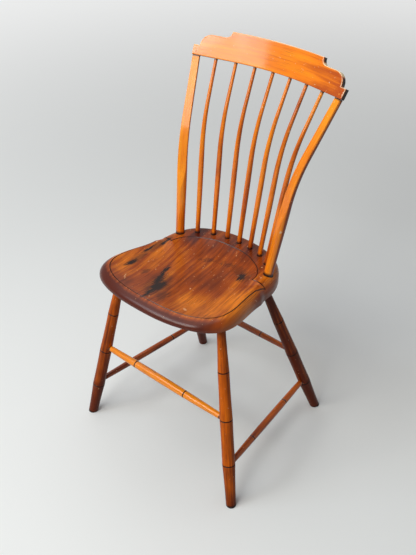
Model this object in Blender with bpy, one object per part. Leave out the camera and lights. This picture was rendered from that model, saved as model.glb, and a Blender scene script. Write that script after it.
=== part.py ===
"""A wooden side chair with a plank seat, turned legs and a bent spindle back, in metres.

The chair is modelled in its own drawing frame: X to the sitter's left and right, -Y to the
front, Z up, with Y = 0 midway between the front and rear feet. An empty carries the pieces and
moves them so that the origin is on the floor under the middle of the chair's whole depth.
"""

import math

import bmesh
import bpy
from mathutils import Vector

# Gap between pieces that touch, and the longer gap at the bottom of a blind socket
GAP = 0.0003
SOCKET_END_GAP = 0.0006
CHAIR_CENTRE_Y = 0.017

# Seat plank: its height is the flat deck's at Y = 0, and the deck falls towards the back
SEAT_HEIGHT = 0.440
SEAT_FALL = math.radians(4.0)
SEAT_THICKNESS = 0.040
SEAT_FRONT_REACH = 0.2068
SEAT_BACK_REACH = 0.1365
SEAT_SHOULDER_HALF_WIDTH = 0.1675
SEAT_SHOULDER_Y = -0.1155
SEAT_WAIST_HALF_WIDTH = 0.1525
SEAT_WAIST_Y = -0.012
SEAT_EAR_HALF_WIDTH = 0.1475
SEAT_EAR_Y = 0.011
FRONT_SQUARENESS = 2.45
BACK_SQUARENESS = 2.25

# Seat edge at the front, the sides and the back: a roll down to the widest outline, a flank that
# ends this far below the deck's plane, and a bevel under it to the flat underside
ROLL_RUN = (0.0250, 0.0240, 0.0110)
ROLL_DROP = (0.0162, 0.0250, 0.0135)
FLANK_DROP = (0.0167, 0.0350, 0.0260)
UNDER_BEVEL = (0.0350, 0.0070, 0.0140)
UNDER_ROUNDING = 0.9
EDGE_FRONT_ANGLE = math.radians(-64.5)
EDGE_BACK_ANGLE = math.radians(45.0)

# Dish carved inside the scribed line, steeper at the back than at the front
DISH_DEPTH = 0.011
DISH_RUN_BACK = 0.070
DISH_RUN_FRONT = 0.105

# Scribed line: round the front at these distances inside the outline, then in along a straight
# cut at each ear, and round in front of the spindles
SCRIBE_WIDTH = 0.0026
SCRIBE_DEPTH = 0.0014
SCRIBE_INSET_FRONT = 0.0232
SCRIBE_INSET_WAIST = 0.0125
SCRIBE_INSET_EAR = 0.0045
SCRIBE_DECK_INSET = 0.0525
SCRIBE_CUSP_INSET = 0.0355
SCRIBE_CORNER_ANGLE = math.radians(-55.0)
SCRIBE_CUT_ANGLE = math.radians(6.1)
SCRIBE_CUSP_END_ANGLE = math.radians(50.0)

# Sockets in the plank stay in their own half of its thickness, with this web between them
SOCKET_WEB = 0.004

# Legs: feet set out from the seat's shoulders, ears and ends, and sockets placed by direction
# and distance inside the outline
FRONT_FOOT_SPREAD = 0.0498
FRONT_FOOT_SETBACK = 0.0264
REAR_FOOT_SPREAD = 0.0330
REAR_FOOT_REACH = 0.0439
FRONT_LEG_INSET = 0.0447
REAR_LEG_INSET = 0.0380
FRONT_LEG_ANGLE = math.radians(-40.3)
REAR_LEG_ANGLE = math.radians(19.0)
LEG_END_RADIUS = 0.0108
LEG_RING_HEIGHTS = (0.105, 0.2140, 0.3245)
LEG_RING_RADII = (0.0139, 0.0136, 0.0119)
LEG_SEAT_RADIUS = 0.0089
LEG_WAISTING = 0.0005
RING_WIDTH = 0.0026
RING_DEPTH = 0.0013
STRETCHER_RING_DEPTH = 0.0010
FRONT_LEFT_TRIM = 0.0127
REAR_RIGHT_TRIM = 0.0062

# Stretchers: heights on the leg axes, and rings as shares of the length between the axes
FRONT_STRETCHER_HEIGHT = 0.2056
REAR_STRETCHER_HEIGHT = 0.1993
SIDE_STRETCHER_HEIGHT = 0.0979
STRETCHER_TENON = 0.011
FRONT_STRETCHER_RADII = (0.0064, 0.0089)
REAR_STRETCHER_RADII = (0.0060, 0.0072)
SIDE_STRETCHER_RADII = (0.0060, 0.0076)
FRONT_STRETCHER_RINGS = (0.272, 0.680)
SIDE_STRETCHER_RINGS = (0.288, 0.710)

# Back: seven spindles and two stiles fan out evenly from the seat to the crest rail
SPINDLES_EACH_SIDE = 3
BACK_STEP_ANGLE = math.radians(16.9)
SPINDLE_INSETS = (0.0295, 0.0298, 0.0292, 0.0263)
STILE_INSET = 0.0184
CREST_STEP = 0.0442
SPINDLE_KNEE_HEIGHT = 0.672
STILE_KNEE_HEIGHT = 0.641
SPINDLE_KNEE_SHARE = 0.53
STILE_KNEE_SHARE = 0.37
KNEE_REACH = 0.055
SPINDLE_BASE_RADIUS = 0.0051
SPINDLE_SWELL_RADIUS = 0.0058
SPINDLE_TOP_RADIUS = 0.0036
SPINDLE_SWELL_AT = 0.35
STILE_BASE_RADIUS = 0.0096
STILE_SWELL_RADIUS = 0.0108
STILE_TOP_RADIUS = 0.0082
STILE_TURN = math.radians(20.0)
STILE_FLAT_START = 0.530
STILE_FLAT_FULL = 0.600
STILE_FLAT_REACH = 0.0035
STILE_SWELL_AT = 0.40

# Crest rail: its lower edge is bent in the middle and straight at the ends, and it leans back
CREST_HEIGHT = 0.7878
CREST_Y = 0.210
CREST_RADIUS = 0.4157
CREST_BENT_HALF_WIDTH = 0.108
CREST_LIFT = 0.11
CREST_LEAN_MIDDLE = math.radians(26.0)
CREST_LEAN_END = math.radians(31.0)
CREST_FLARE = 0.13
CREST_THICKNESS = 0.0108
CREST_OVERHANG = 0.0090
CREST_END_WIDTH = 0.0130
CREST_END_HEIGHT = 0.0207
CREST_SHOULDER_HEIGHT = 0.0455
CREST_TABLET_HEIGHT = 0.0588
CREST_TABLET_HALF_WIDTH = 0.1087
CREST_COVE_RADIUS = 0.0125
CREST_EDGE_CHAMFER = 0.0012

# Joints at the crest rail: blind mortises, and a small peg through each stile's tenon
SPINDLE_MORTISE = 0.014
STILE_TENON = 0.015
STILE_TENON_RADIUS = 0.0036
PIN_RADIUS = 0.0016
PIN_HEIGHT = 0.0075
PIN_PROUD = 0.0003

# How finely round forms are cut into facets
LEG_SIDES = 16
STRETCHER_SIDES = 14
SPINDLE_SIDES = 10
STILE_SIDES = 16
PIN_SIDES = 10
SEAT_COLUMNS = 64
DISH_SHARES = (0.30, 0.58, 0.82)
RIM_SHARES = (0.35, 0.70)
UNDER_SHARES = (0.0, 0.5, 1.0)
ROLL_ANGLES = (math.radians(56.0), math.radians(38.0), math.radians(20.0), 0.0)
BETWEEN_RINGS = (0.25, 0.5, 0.75)
BELOW_BEND = (0.0, 0.2, 0.4, 0.6, 0.8)
ABOVE_BEND = (0.5, 1.0)
CREST_SLICES = 22
ARC_STEPS = 5
BEND_STEPS = 5
OUTLINE_STEPS = 60
ROUND_ANGLE = math.radians(35.0)

LEFT, RIGHT = -1, 1
UP = Vector((0.0, 0.0, 1.0))


def lerp(a, b, t):
    return a + (b - a) * t


def ease(t):
    """Smooth step from 0 to 1 as t goes from 0 to 1."""
    t = min(1.0, max(0.0, t))
    return t * t * (3.0 - 2.0 * t)


def clear_scene():
    for obj in list(bpy.data.objects):
        bpy.data.objects.remove(obj)


def wood(name, colour, roughness):
    material = bpy.data.materials.new(name)
    material.use_nodes = True
    shader = material.node_tree.nodes["Principled BSDF"]
    shader.inputs["Base Color"].default_value = (*colour, 1.0)
    shader.inputs["Roughness"].default_value = roughness
    shader.inputs["Metallic"].default_value = 0.0
    return material


def finish(name, bm, material, chair, origin=Vector((0.0, 0.0, 0.0)), axis=None):
    """Turns a bmesh into an object on the chair, with its local Z along the axis if one is given."""
    bmesh.ops.recalc_face_normals(bm, faces=bm.faces)
    mesh = bpy.data.meshes.new(name)
    bm.to_mesh(mesh)
    bm.free()
    mesh.shade_smooth()
    mesh.set_sharp_from_angle(angle=ROUND_ANGLE)
    obj = bpy.data.objects.new(name, mesh)
    bpy.context.scene.collection.objects.link(obj)
    obj.location = origin
    if axis is not None:
        obj.rotation_mode = "QUATERNION"
        obj.rotation_quaternion = UP.rotation_difference(axis)
    obj.parent = chair
    if material is not None:
        mesh.materials.append(material)
    return obj


def cut(obj, cutter):
    """Subtracts a cutter, which is kept as a guide and isn't part of the chair."""
    cutter.hide_render = True
    cutter.display_type = "WIRE"
    modifier = obj.modifiers.new(cutter.name, "BOOLEAN")
    modifier.operation = "DIFFERENCE"
    modifier.solver = "EXACT"
    modifier.object = cutter


def add_loft(bm, sections):
    """Adds a closed solid through rings of points, with a flat cap at each end."""
    rings = [[bm.verts.new(point) for point in section] for section in sections]
    for lower, upper in zip(rings, rings[1:]):
        count = len(lower)
        for i in range(count):
            j = (i + 1) % count
            bm.faces.new((lower[i], lower[j], upper[j], upper[i]))
    bm.faces.new(reversed(rings[0]))
    bm.faces.new(rings[-1])


def circle(radius, height, sides):
    step = 2.0 * math.pi / sides
    angles = [i * step for i in range(sides)]
    return [Vector((radius * math.cos(angle), radius * math.sin(angle), height)) for angle in angles]


def turned(bm, profile, sides):
    """Turns a profile of (distance along the axis, radius) pairs about local Z."""
    add_loft(bm, [circle(radius, distance, sides) for distance, radius in profile])


def add_socket(bm, start, end, axis, radius, sides):
    """Adds a cutter along an axis, faceted as a turned piece on that axis is, with the gap round it."""
    turn = UP.rotation_difference(axis)
    sections = []
    for centre in (start, end):
        sections.append([centre + turn @ point for point in circle(radius + GAP, 0.0, sides)])
    add_loft(bm, sections)


# Seat outline


def make_outline():
    """Directions and distances of the right half of the outline, from the front to the back."""
    points = []
    front_depth = SEAT_FRONT_REACH + SEAT_SHOULDER_Y
    for i in range(OUTLINE_STEPS):
        angle = 0.5 * math.pi * i / OUTLINE_STEPS
        x = SEAT_SHOULDER_HALF_WIDTH * math.sin(angle) ** (2.0 / FRONT_SQUARENESS)
        y = SEAT_SHOULDER_Y - front_depth * math.cos(angle) ** (2.0 / FRONT_SQUARENESS)
        points.append((x, y))
    for i in range(OUTLINE_STEPS):
        t = i / OUTLINE_STEPS
        y = lerp(SEAT_SHOULDER_Y, SEAT_WAIST_Y, t)
        points.append((lerp(SEAT_SHOULDER_HALF_WIDTH, SEAT_WAIST_HALF_WIDTH, ease(t)), y))
    for i in range(OUTLINE_STEPS):
        t = i / OUTLINE_STEPS
        y = lerp(SEAT_WAIST_Y, SEAT_EAR_Y, t)
        points.append((lerp(SEAT_WAIST_HALF_WIDTH, SEAT_EAR_HALF_WIDTH, ease(t)), y))
    back_depth = SEAT_BACK_REACH - SEAT_EAR_Y
    for i in range(OUTLINE_STEPS + 1):
        angle = 0.5 * math.pi * i / OUTLINE_STEPS
        x = SEAT_EAR_HALF_WIDTH * max(0.0, math.cos(angle)) ** (2.0 / BACK_SQUARENESS)
        y = SEAT_EAR_Y + back_depth * math.sin(angle) ** (2.0 / BACK_SQUARENESS)
        points.append((x, y))
    return [(math.atan2(y, x), math.hypot(x, y)) for x, y in points]


OUTLINE = make_outline()
WAIST_ANGLE = math.atan2(SEAT_WAIST_Y, SEAT_WAIST_HALF_WIDTH)


def outline_radius(angle):
    """Distance from the seat's centre to its outline in a direction on the right half."""
    for (angle_a, radius_a), (angle_b, radius_b) in zip(OUTLINE, OUTLINE[1:]):
        if angle <= angle_b:
            span = max(angle_b - angle_a, 1e-9)
            return lerp(radius_a, radius_b, (angle - angle_a) / span)
    return OUTLINE[-1][1]


def round_the_edge(values, angle):
    """Blends an edge size from its front value to the side's and on to the back's."""
    front, side, back = values
    to_side = ease((angle - EDGE_FRONT_ANGLE) / (WAIST_ANGLE - EDGE_FRONT_ANGLE))
    to_back = ease((angle - SCRIBE_CUT_ANGLE) / (EDGE_BACK_ANGLE - SCRIBE_CUT_ANGLE))
    return lerp(lerp(front, side, to_side), back, to_back)


def scribe_front_radius(angle):
    """The line inside the front edge: closer to the outline from the front round to the ear."""
    if angle < WAIST_ANGLE:
        t = ease((angle - SCRIBE_CORNER_ANGLE) / (WAIST_ANGLE - SCRIBE_CORNER_ANGLE))
        inset = lerp(SCRIBE_INSET_FRONT, SCRIBE_INSET_WAIST, t)
    else:
        t = (angle - WAIST_ANGLE) / (SCRIBE_CUT_ANGLE - WAIST_ANGLE)
        inset = lerp(SCRIBE_INSET_WAIST, SCRIBE_INSET_EAR, min(1.0, t))
    return outline_radius(angle) - inset


def scribe_back_radius(angle):
    """The line in front of the spindles, which flares out to a cusp at each side."""
    t = (angle - SCRIBE_CUT_ANGLE) / (SCRIBE_CUSP_END_ANGLE - SCRIBE_CUT_ANGLE)
    inset = lerp(SCRIBE_CUSP_INSET, SCRIBE_DECK_INSET, ease(t))
    return outline_radius(angle) - inset


def on_ray(angle, radius):
    return Vector((radius * math.cos(angle), radius * math.sin(angle), 0.0))


def scribed_line():
    """Plan points of the right half of the scribed line, from the front round to the back."""
    first, last = -0.5 * math.pi, 0.5 * math.pi
    points = []
    for i in range(OUTLINE_STEPS + 1):
        angle = lerp(first, SCRIBE_CUT_ANGLE, i / OUTLINE_STEPS)
        points.append(on_ray(angle, scribe_front_radius(angle)))
    for i in range(OUTLINE_STEPS + 1):
        angle = lerp(SCRIBE_CUT_ANGLE, last, i / OUTLINE_STEPS)
        points.append(on_ray(angle, scribe_back_radius(angle)))
    return points


SCRIBED_LINE = scribed_line()


def distance_to_line(x, y):
    """Shortest plan distance from a point on the right half to the scribed line."""
    point = Vector((x, y, 0.0))
    best = math.inf
    for a, b in zip(SCRIBED_LINE, SCRIBED_LINE[1:]):
        along = b - a
        t = (point - a).dot(along) / max(along.length_squared, 1e-12)
        best = min(best, (point - a - along * min(1.0, max(0.0, t))).length)
    return best


def deck_height(y):
    return SEAT_HEIGHT - math.tan(SEAT_FALL) * y


def inside_scribe(angle, radius):
    if angle < SCRIBE_CUT_ANGLE:
        return radius < scribe_front_radius(angle)
    return radius < scribe_back_radius(angle)


def seat_top_drop(angle, radius):
    """How far the top surface lies below the deck's plane, for a direction on the right half."""
    inward = (outline_radius(angle) - radius) / round_the_edge(ROLL_RUN, angle)
    drop = 0.0
    if inward < 1.0:
        rolled = 1.0 - math.sqrt(max(0.0, 1.0 - (1.0 - inward) ** 2))
        drop = round_the_edge(ROLL_DROP, angle) * rolled
    if inside_scribe(angle, radius):
        x, y = radius * math.cos(angle), radius * math.sin(angle)
        front_share = (SEAT_BACK_REACH - y) / (SEAT_BACK_REACH + SEAT_FRONT_REACH)
        run = lerp(DISH_RUN_BACK, DISH_RUN_FRONT, front_share)
        t = min(1.0, distance_to_line(x, y) / run)
        drop += DISH_DEPTH * t * (2.0 - t)
    return drop


def column_angles():
    """Directions of the seat's columns on the right half, with three close ones at the ear's cut."""
    reach = SEAT_EAR_HALF_WIDTH - SCRIBE_INSET_EAR
    close = 0.5 * SCRIBE_WIDTH / reach
    half = SEAT_COLUMNS // 2
    step = math.pi / half
    angles = [-0.5 * math.pi + i * step for i in range(half + 1)]
    angles = [angle for angle in angles if abs(angle - SCRIBE_CUT_ANGLE) > 0.5 * step]
    angles += [SCRIBE_CUT_ANGLE - close, SCRIBE_CUT_ANGLE, SCRIBE_CUT_ANGLE + close]
    return sorted(angles)


def seat_column(angle):
    """Points (radius, drop below the deck's plane) of one column, from the middle to the underside."""
    outer = outline_radius(angle)
    run = round_the_edge(ROLL_RUN, angle)
    at_cut = abs(angle - SCRIBE_CUT_ANGLE) < 1e-9
    behind = angle > SCRIBE_CUT_ANGLE + 1e-9
    half = 0.5 * SCRIBE_WIDTH
    if behind:
        line_out = outer - run
        line_in = scribe_back_radius(angle)
    else:
        line_out = scribe_front_radius(angle)
        cusp_share = scribe_back_radius(SCRIBE_CUT_ANGLE) / scribe_front_radius(SCRIBE_CUT_ANGLE)
        line_in = line_out * cusp_share
    points = []
    for share in DISH_SHARES:
        points.append((line_in * share, 0.0))
    points.append((line_in - half, 0.0))
    points.append((line_in, SCRIBE_DEPTH if behind or at_cut else 0.0))
    points.append((line_in + half, SCRIBE_DEPTH if at_cut else 0.0))
    for share in RIM_SHARES:
        radius = lerp(line_in + half, line_out - half, share)
        points.append((radius, SCRIBE_DEPTH if at_cut else 0.0))
    points.append((line_out - half, SCRIBE_DEPTH if at_cut else 0.0))
    points.append((line_out, 0.0 if behind else SCRIBE_DEPTH))
    points.append((line_out + half, 0.0))
    # The roll is meshed by angle up from its widest point, squeezed where the line is close to it
    room = min(1.0, (outer - line_out - SCRIBE_WIDTH) / (run * (1.0 - math.cos(ROLL_ANGLES[0]))))
    for roll_angle in ROLL_ANGLES:
        points.append((outer - room * run * (1.0 - math.cos(roll_angle)), 0.0))
    column = [(radius, seat_top_drop(angle, radius) + extra) for radius, extra in points]
    flank_end = round_the_edge(FLANK_DROP, angle)
    bevel = round_the_edge(UNDER_BEVEL, angle)
    for share in UNDER_SHARES:
        drop = lerp(flank_end, SEAT_THICKNESS, share ** UNDER_ROUNDING)
        column.append((outer - share * bevel, drop))
    return column


def make_seat(chair, sockets):
    bm = bmesh.new()
    right = column_angles()
    columns = [(angle, RIGHT) for angle in right]
    columns += [(angle, LEFT) for angle in reversed(right[1:-1])]
    rings = []
    for angle, side in columns:
        verts = []
        for radius, drop in seat_column(angle):
            x, y = side * radius * math.cos(angle), radius * math.sin(angle)
            verts.append(bm.verts.new((x, y, deck_height(y) - drop)))
        rings.append(verts)
    middle = bm.verts.new((0.0, 0.0, deck_height(0.0) - seat_top_drop(0.0, 0.0)))
    for i, column in enumerate(rings):
        following = rings[(i + 1) % len(rings)]
        bm.faces.new((middle, column[0], following[0]))
        for j in range(len(column) - 1):
            bm.faces.new((column[j], column[j + 1], following[j + 1], following[j]))
    bm.faces.new([column[-1] for column in reversed(rings)])
    bmesh.ops.triangulate(bm, faces=bm.faces)
    seat = finish("seat", bm, wood("seat_wood", (0.22, 0.065, 0.018), 0.32), chair)
    cut(seat, finish("seat_sockets", sockets, None, chair))


# Legs and stretchers


def plank_reach(origin, axis, drop):
    """Distance along an axis from its origin to the plane that lies this far below the deck."""
    fall = math.tan(SEAT_FALL)
    return (SEAT_HEIGHT - drop - origin.z - fall * origin.y) / (axis.z + fall * axis.y)


def seat_point(angle, inset, side):
    """Point on the deck's plane, by direction and distance inside the outline."""
    point = on_ray(angle, outline_radius(angle) - inset)
    return Vector((side * point.x, point.y, deck_height(point.y)))


def socket_depth():
    return 0.5 * (SEAT_THICKNESS - SOCKET_WEB)


def with_ring(profile, distance, radius, depth):
    """Adds a turned ring to a profile: a V groove with its lips on the given radius."""
    half = 0.5 * RING_WIDTH
    profile += [(distance - half, radius), (distance, radius - depth), (distance + half, radius)]


class Leg:
    """A straight turned leg, cut off at the floor and driven into the seat from below."""

    def __init__(self, name, placing, side, trim):
        foot_x, foot_y, angle, inset = placing
        self.name = name
        self.foot = Vector((side * foot_x, foot_y, 0.0))
        self.axis = (seat_point(angle, inset, side) - self.foot).normalized()
        self.trim = trim
        self.mouth = plank_reach(self.foot, self.axis, SEAT_THICKNESS)
        self.end = plank_reach(self.foot, self.axis, SEAT_THICKNESS - socket_depth())
        rings = [(height - trim, radius) for height, radius in zip(LEG_RING_HEIGHTS, LEG_RING_RADII)]
        self.stations = [(-trim, LEG_END_RADIUS), *rings, (self.mouth, LEG_SEAT_RADIUS)]
        self.cutters = bmesh.new()

    def radius(self, distance):
        """Radius at a distance from the floor, drawn in a little between the rings."""
        for (low, low_radius), (high, high_radius) in zip(self.stations, self.stations[1:]):
            if distance <= high:
                t = (distance - low) / (high - low)
                return lerp(low_radius, high_radius, t) - LEG_WAISTING * 4.0 * t * (1.0 - t)
        return LEG_SEAT_RADIUS

    def at_height(self, height):
        """Distance along the leg and point on its axis at a height over the floor."""
        distance = height / self.axis.z
        return distance, self.foot + self.axis * distance

    def profile(self):
        points = [(-self.trim - 2.0 * LEG_END_RADIUS, LEG_END_RADIUS)]
        for low, high in zip(self.stations, self.stations[1:]):
            for t in BETWEEN_RINGS:
                distance = lerp(low[0], high[0], t)
                points.append((distance, self.radius(distance)))
            if high is not self.stations[-1]:
                with_ring(points, high[0], high[1], RING_DEPTH)
        points.append((self.mouth, LEG_SEAT_RADIUS))
        points.append((self.end - SOCKET_END_GAP, LEG_SEAT_RADIUS))
        return points

    def build(self, chair, material):
        bm = bmesh.new()
        turned(bm, self.profile(), LEG_SIDES)
        turn = UP.rotation_difference(self.axis)
        everything = bm.verts[:] + bm.edges[:] + bm.faces[:]
        floor = {"plane_co": (0.0, 0.0, 0.0), "plane_no": turn.inverted() @ -UP}
        sawn = bmesh.ops.bisect_plane(bm, geom=everything, clear_outer=True, **floor)
        rim = [item for item in sawn["geom_cut"] if isinstance(item, bmesh.types.BMEdge)]
        bmesh.ops.contextual_create(bm, geom=rim)
        leg = finish(self.name, bm, material, chair, self.foot, self.axis)
        cut(leg, finish(self.name + "_sockets", self.cutters, None, chair))

    def add_seat_socket(self, cutters):
        start = self.foot + self.axis * (self.mouth - 0.5 * SEAT_THICKNESS)
        end = self.foot + self.axis * self.end
        add_socket(cutters, start, end, self.axis, LEG_SEAT_RADIUS, LEG_SIDES)


def make_stretcher(name, legs, shape, chair, material):
    """A turned stretcher between two legs, with a blind socket for it in each."""
    height, radii, rings = shape
    places = [leg.at_height(height) for leg in legs]
    run = places[1][1] - places[0][1]
    axis, length = run.normalized(), run.length
    surfaces = [leg.radius(distance) for leg, (distance, _) in zip(legs, places)]
    tenon_radius, middle_radius = radii

    def radius_at(distance):
        share = (distance - surfaces[0]) / (length - surfaces[0] - surfaces[1])
        return lerp(middle_radius, tenon_radius, (2.0 * share - 1.0) ** 2)

    stops = [surfaces[0], *(share * length for share in rings), length - surfaces[1]]
    profile = [(surfaces[0] - STRETCHER_TENON, tenon_radius), (surfaces[0], tenon_radius)]
    for low, high in zip(stops, stops[1:]):
        for t in BETWEEN_RINGS:
            distance = lerp(low, high, t)
            profile.append((distance, radius_at(distance)))
        if high != stops[-1]:
            with_ring(profile, high, radius_at(high), STRETCHER_RING_DEPTH)
    profile.append((length - surfaces[1], tenon_radius))
    profile.append((length - surfaces[1] + STRETCHER_TENON, tenon_radius))
    bm = bmesh.new()
    turned(bm, profile, STRETCHER_SIDES)
    finish(name, bm, material, chair, places[0][1], axis)
    for leg, (_, centre), surface, outward in zip(legs, places, surfaces, (1.0, -1.0)):
        bottom = centre + axis * outward * (surface - STRETCHER_TENON - SOCKET_END_GAP)
        mouth = centre + axis * outward * (surface + STRETCHER_TENON)
        add_socket(leg.cutters, bottom, mouth, axis, tenon_radius, STRETCHER_SIDES)


def make_undercarriage(chair, sockets):
    front_x = SEAT_SHOULDER_HALF_WIDTH + FRONT_FOOT_SPREAD
    rear_x = SEAT_EAR_HALF_WIDTH + REAR_FOOT_SPREAD
    front_y = FRONT_FOOT_SETBACK - SEAT_FRONT_REACH
    rear_y = SEAT_BACK_REACH + REAR_FOOT_REACH
    front_placing = (front_x, front_y, FRONT_LEG_ANGLE, FRONT_LEG_INSET)
    rear_placing = (rear_x, rear_y, REAR_LEG_ANGLE, REAR_LEG_INSET)
    front_left = Leg("leg_front_left", front_placing, LEFT, FRONT_LEFT_TRIM)
    front_right = Leg("leg_front_right", front_placing, RIGHT, 0.0)
    rear_left = Leg("leg_rear_left", rear_placing, LEFT, 0.0)
    rear_right = Leg("leg_rear_right", rear_placing, RIGHT, REAR_RIGHT_TRIM)
    front = (FRONT_STRETCHER_HEIGHT, FRONT_STRETCHER_RADII, FRONT_STRETCHER_RINGS)
    rear = (REAR_STRETCHER_HEIGHT, REAR_STRETCHER_RADII, SIDE_STRETCHER_RINGS)
    side = (SIDE_STRETCHER_HEIGHT, SIDE_STRETCHER_RADII, SIDE_STRETCHER_RINGS)
    material = wood("stretcher_wood", (0.50, 0.17, 0.025), 0.30)
    make_stretcher("stretcher_front", (front_left, front_right), front, chair, material)
    make_stretcher("stretcher_rear", (rear_left, rear_right), rear, chair, material)
    make_stretcher("stretcher_left", (front_left, rear_left), side, chair, material)
    make_stretcher("stretcher_right", (front_right, rear_right), side, chair, material)
    leg_wood = wood("leg_wood", (0.33, 0.095, 0.018), 0.35)
    for leg in (front_left, front_right, rear_left, rear_right):
        leg.add_seat_socket(sockets)
        leg.build(chair, leg_wood)


# Crest rail


def crest_half_width():
    return CREST_STEP * (SPINDLES_EACH_SIDE + 1) + CREST_OVERHANG


def crest_frame(x):
    """Point on the rail's lower edge at its mid-thickness, and its along, up and back directions."""
    bent = min(abs(x), CREST_BENT_HALF_WIDTH)
    side = math.copysign(1.0, x)
    drop = bent * bent / (2.0 * CREST_RADIUS) + (abs(x) - bent) * bent / CREST_RADIUS
    slope = side * bent / CREST_RADIUS
    share = x / crest_half_width()
    lean = lerp(CREST_LEAN_MIDDLE, CREST_LEAN_END, share * share)
    edge = Vector((x, CREST_Y - drop, CREST_HEIGHT + CREST_LIFT * drop))
    along = Vector((1.0, -slope, CREST_LIFT * slope)).normalized()
    up = Vector((CREST_FLARE * share, math.sin(lean), math.cos(lean)))
    back = up.cross(along).normalized()
    return edge, along, up, back


def crest_outline():
    """Points (x, height) of the rail's face, from its lower right corner round to its lower left."""
    end = crest_half_width()
    inner = end - CREST_END_WIDTH
    round_radius = CREST_SHOULDER_HEIGHT - CREST_END_HEIGHT
    right = [(end, 0.0), (end, CREST_END_HEIGHT)]
    for i in range(ARC_STEPS + 1):
        angle = 0.5 * math.pi * i / ARC_STEPS
        x = inner - round_radius * (1.0 - math.cos(angle))
        right.append((x, CREST_END_HEIGHT + round_radius * math.sin(angle)))
    for i in range(ARC_STEPS + 1):
        angle = 0.5 * math.pi * i / ARC_STEPS
        x = CREST_TABLET_HALF_WIDTH + CREST_COVE_RADIUS * (1.0 - math.sin(angle))
        right.append((x, CREST_SHOULDER_HEIGHT + CREST_COVE_RADIUS * (1.0 - math.cos(angle))))
    right.append((CREST_TABLET_HALF_WIDTH, CREST_TABLET_HEIGHT))
    return right + [(-x, height) for x, height in reversed(right)]


def make_crest(chair, mortises, pin_holes):
    bm = bmesh.new()
    front = -0.5 * CREST_THICKNESS
    face = bm.faces.new([bm.verts.new((x, front, height)) for x, height in crest_outline()])
    grown = bmesh.ops.extrude_face_region(bm, geom=[face])
    moved = [item for item in grown["geom"] if isinstance(item, bmesh.types.BMVert)]
    bmesh.ops.translate(bm, verts=moved, vec=(0.0, CREST_THICKNESS, 0.0))
    bmesh.ops.recalc_face_normals(bm, faces=bm.faces)
    rims = [edge for edge in bm.edges if edge.verts[0].co.y == edge.verts[1].co.y]
    bmesh.ops.bevel(bm, geom=rims, offset=CREST_EDGE_CHAMFER, segments=1, affect="EDGES")
    end = crest_half_width()
    for i in range(1, CREST_SLICES):
        everything = bm.verts[:] + bm.edges[:] + bm.faces[:]
        x = lerp(-end, end, i / CREST_SLICES)
        bmesh.ops.bisect_plane(bm, geom=everything, plane_co=(x, 0.0, 0.0), plane_no=(1.0, 0.0, 0.0))
    for vert in bm.verts:
        x, depth, height = vert.co
        edge, _, up, back = crest_frame(x)
        vert.co = edge + up * height + back * depth
    bmesh.ops.triangulate(bm, faces=bm.faces)
    crest = finish("crest_rail", bm, wood("crest_wood", (0.60, 0.22, 0.035), 0.28), chair)
    cut(crest, finish("crest_mortises", mortises, None, chair))
    cut(crest, finish("crest_pin_holes", pin_holes, None, chair))


# Spindles and stiles


class BackMember:
    """A bent rod from a blind socket in the seat to a mortise in the crest rail's lower edge."""

    def __init__(self, place, inset, knee, sides, turn):
        side = LEFT if place < 0 else RIGHT
        knee_height, knee_share = knee
        self.facing = Vector((-side * math.sin(turn), -math.cos(turn), 0.0))
        self.sides = sides
        self.base = seat_point(0.5 * math.pi - abs(place) * BACK_STEP_ANGLE, inset, side)
        self.top, self.along, self.up, self.back = crest_frame(place * CREST_STEP)
        # The upper part lies in the rail's own surface: solve its run down to the knee
        rise = self.top.z - knee_height
        spread = (self.top.x - self.base.x) * (1.0 - knee_share)
        scale = self.up.x * self.along.z - self.up.z * self.along.x
        up_run = (spread * self.along.z - rise * self.along.x) / scale
        along_run = (self.up.x * rise - self.up.z * spread) / scale
        self.knee = self.top - self.up * up_run - self.along * along_run
        self.lower = (self.knee - self.base).normalized()
        self.upper = (self.top - self.knee).normalized()

    def section(self, centre, direction, radius, flat=None):
        """A round section across a direction, with its front cut off flat at a distance if given."""
        front = (self.facing - direction * self.facing.dot(direction)).normalized()
        sideways = front.cross(direction)
        points = []
        for i in range(self.sides):
            angle = 2.0 * math.pi * i / self.sides
            forward = radius * math.sin(angle)
            if flat is not None:
                forward = min(forward, flat)
            points.append(centre + sideways * radius * math.cos(angle) + front * forward)
        return points

    def path(self):
        """Centres and directions from just over the deck to the mortise, bent round the knee."""
        bend_start = self.knee - self.lower * KNEE_REACH
        bend_end = self.knee + self.upper * KNEE_REACH
        centres = [(self.base.lerp(bend_start, t), self.lower) for t in BELOW_BEND]
        for i in range(BEND_STEPS + 1):
            t = i / BEND_STEPS
            first, second = bend_start.lerp(self.knee, t), self.knee.lerp(bend_end, t)
            centres.append((first.lerp(second, t), self.lower.lerp(self.upper, t).normalized()))
        centres += [(bend_end.lerp(self.top, t), self.upper) for t in ABOVE_BEND]
        return centres

    def share(self, centre):
        return (centre.z - self.base.z) / (self.top.z - self.base.z)

    def socket_bottom(self, gap):
        return self.base + self.lower * (plank_reach(self.base, self.lower, socket_depth()) + gap)

    def cut_socket(self, cutters, radius):
        above = self.base + self.lower * 2.0 * radius
        ends = (self.socket_bottom(0.0), above)
        add_loft(cutters, [self.section(end, self.lower, radius + GAP) for end in ends])

    def cut_mortise(self, cutters, radius, depth):
        ends = (self.top - self.upper * 2.0 * radius, self.top + self.upper * depth)
        add_loft(cutters, [self.section(end, self.upper, radius + GAP) for end in ends])


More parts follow.
